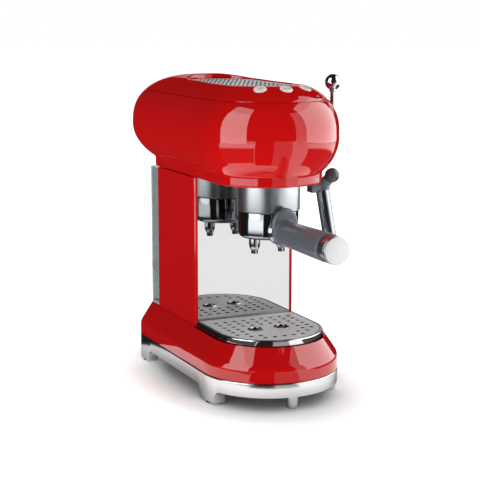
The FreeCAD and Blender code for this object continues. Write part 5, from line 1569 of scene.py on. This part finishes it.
class ESPRESSO_OT_sheets(bpy.types.Operator):
    """Builds the two perforated sheets."""

    bl_idname = "espresso.sheets"
    bl_label = "Drain grid and cup-warmer grid"
    bl_options = {"REGISTER", "UNDO"}

    def execute(self, context):
        build_drain()
        build_warmer()
        return {"FINISHED"}


class ESPRESSO_OT_group(bpy.types.Operator):
    """Builds the group, and the portafilter in it."""

    bl_idname = "espresso.group"
    bl_label = "Group and portafilter"
    bl_options = {"REGISTER", "UNDO"}

    def execute(self, context):
        build_group()
        build_portafilter()
        return {"FINISHED"}


class ESPRESSO_OT_handle(bpy.types.Operator):
    """Builds the portafilter's handle."""

    bl_idname = "espresso.handle"
    bl_label = "Handle"
    bl_options = {"REGISTER", "UNDO"}

    def execute(self, context):
        build_handle()
        return {"FINISHED"}


class ESPRESSO_OT_lever(bpy.types.Operator):
    """Builds ball and ferrule of the steam lever."""

    bl_idname = "espresso.lever"
    bl_label = "Steam lever"
    bl_options = {"REGISTER", "UNDO"}

    def execute(self, context):
        build_lever()
        return {"FINISHED"}


class ESPRESSO_OT_wand(bpy.types.Operator):
    """Builds the steam wand with its thumb knob."""

    bl_idname = "espresso.wand"
    bl_label = "Steam wand"
    bl_options = {"REGISTER", "UNDO"}

    def execute(self, context):
        build_wand()
        return {"FINISHED"}


class ESPRESSO_OT_buttons(bpy.types.Operator):
    """Builds the three push buttons."""

    bl_idname = "espresso.buttons"
    bl_label = "Push buttons"
    bl_options = {"REGISTER", "UNDO"}

    def execute(self, context):
        build_buttons()
        return {"FINISHED"}


class ESPRESSO_OT_stage(bpy.types.Operator):
    """Sets up floor, lamps, cards and camera."""

    bl_idname = "espresso.stage"
    bl_label = "Stage, light and camera"
    bl_options = {"REGISTER", "UNDO"}

    def execute(self, context):
        build_stage()
        return {"FINISHED"}


OPERATORS = (
    ESPRESSO_OT_dress_nodes,
    ESPRESSO_OT_head,
    ESPRESSO_OT_cover,
    ESPRESSO_OT_skirt,
    ESPRESSO_OT_rim,
    ESPRESSO_OT_base,
    ESPRESSO_OT_sheets,
    ESPRESSO_OT_group,
    ESPRESSO_OT_handle,
    ESPRESSO_OT_lever,
    ESPRESSO_OT_wand,
    ESPRESSO_OT_buttons,
    ESPRESSO_OT_stage,
)


class ESPRESSO_PT_pieces(bpy.types.Panel):
    """Lists the machine's pieces in the sidebar."""

    bl_label = "Espresso machine"
    bl_space_type = "VIEW_3D"
    bl_region_type = "UI"
    bl_category = "Espresso"

    def draw(self, context):
        for operator in OPERATORS:
            self.layout.operator(operator.bl_idname)


CLASSES = (MachineSizes, MachineColours, *OPERATORS, ESPRESSO_PT_pieces)


def register():
    """Adds sizes, colours, operators and panel."""
    for item in CLASSES:
        bpy.utils.register_class(item)
    bpy.types.Scene.machine_sizes = bpy.props.PointerProperty(type=MachineSizes)
    bpy.types.Scene.machine_colours = bpy.props.PointerProperty(type=MachineColours)


def unregister():
    """Takes them away again."""
    del bpy.types.Scene.machine_colours
    del bpy.types.Scene.machine_sizes
    for item in reversed(CLASSES):
        bpy.utils.unregister_class(item)


def main():
    """Builds the machine piece by piece."""
    register()
    bpy.ops.espresso.dress_nodes()
    bpy.ops.espresso.head()
    bpy.ops.espresso.cover()
    bpy.ops.espresso.skirt()
    bpy.ops.espresso.rim()
    bpy.ops.espresso.base()
    bpy.ops.espresso.sheets()
    bpy.ops.espresso.group()
    bpy.ops.espresso.handle()
    bpy.ops.espresso.lever()
    bpy.ops.espresso.wand()
    bpy.ops.espresso.buttons()
    bpy.ops.espresso.stage()


if __name__ == "__main__":
    main()
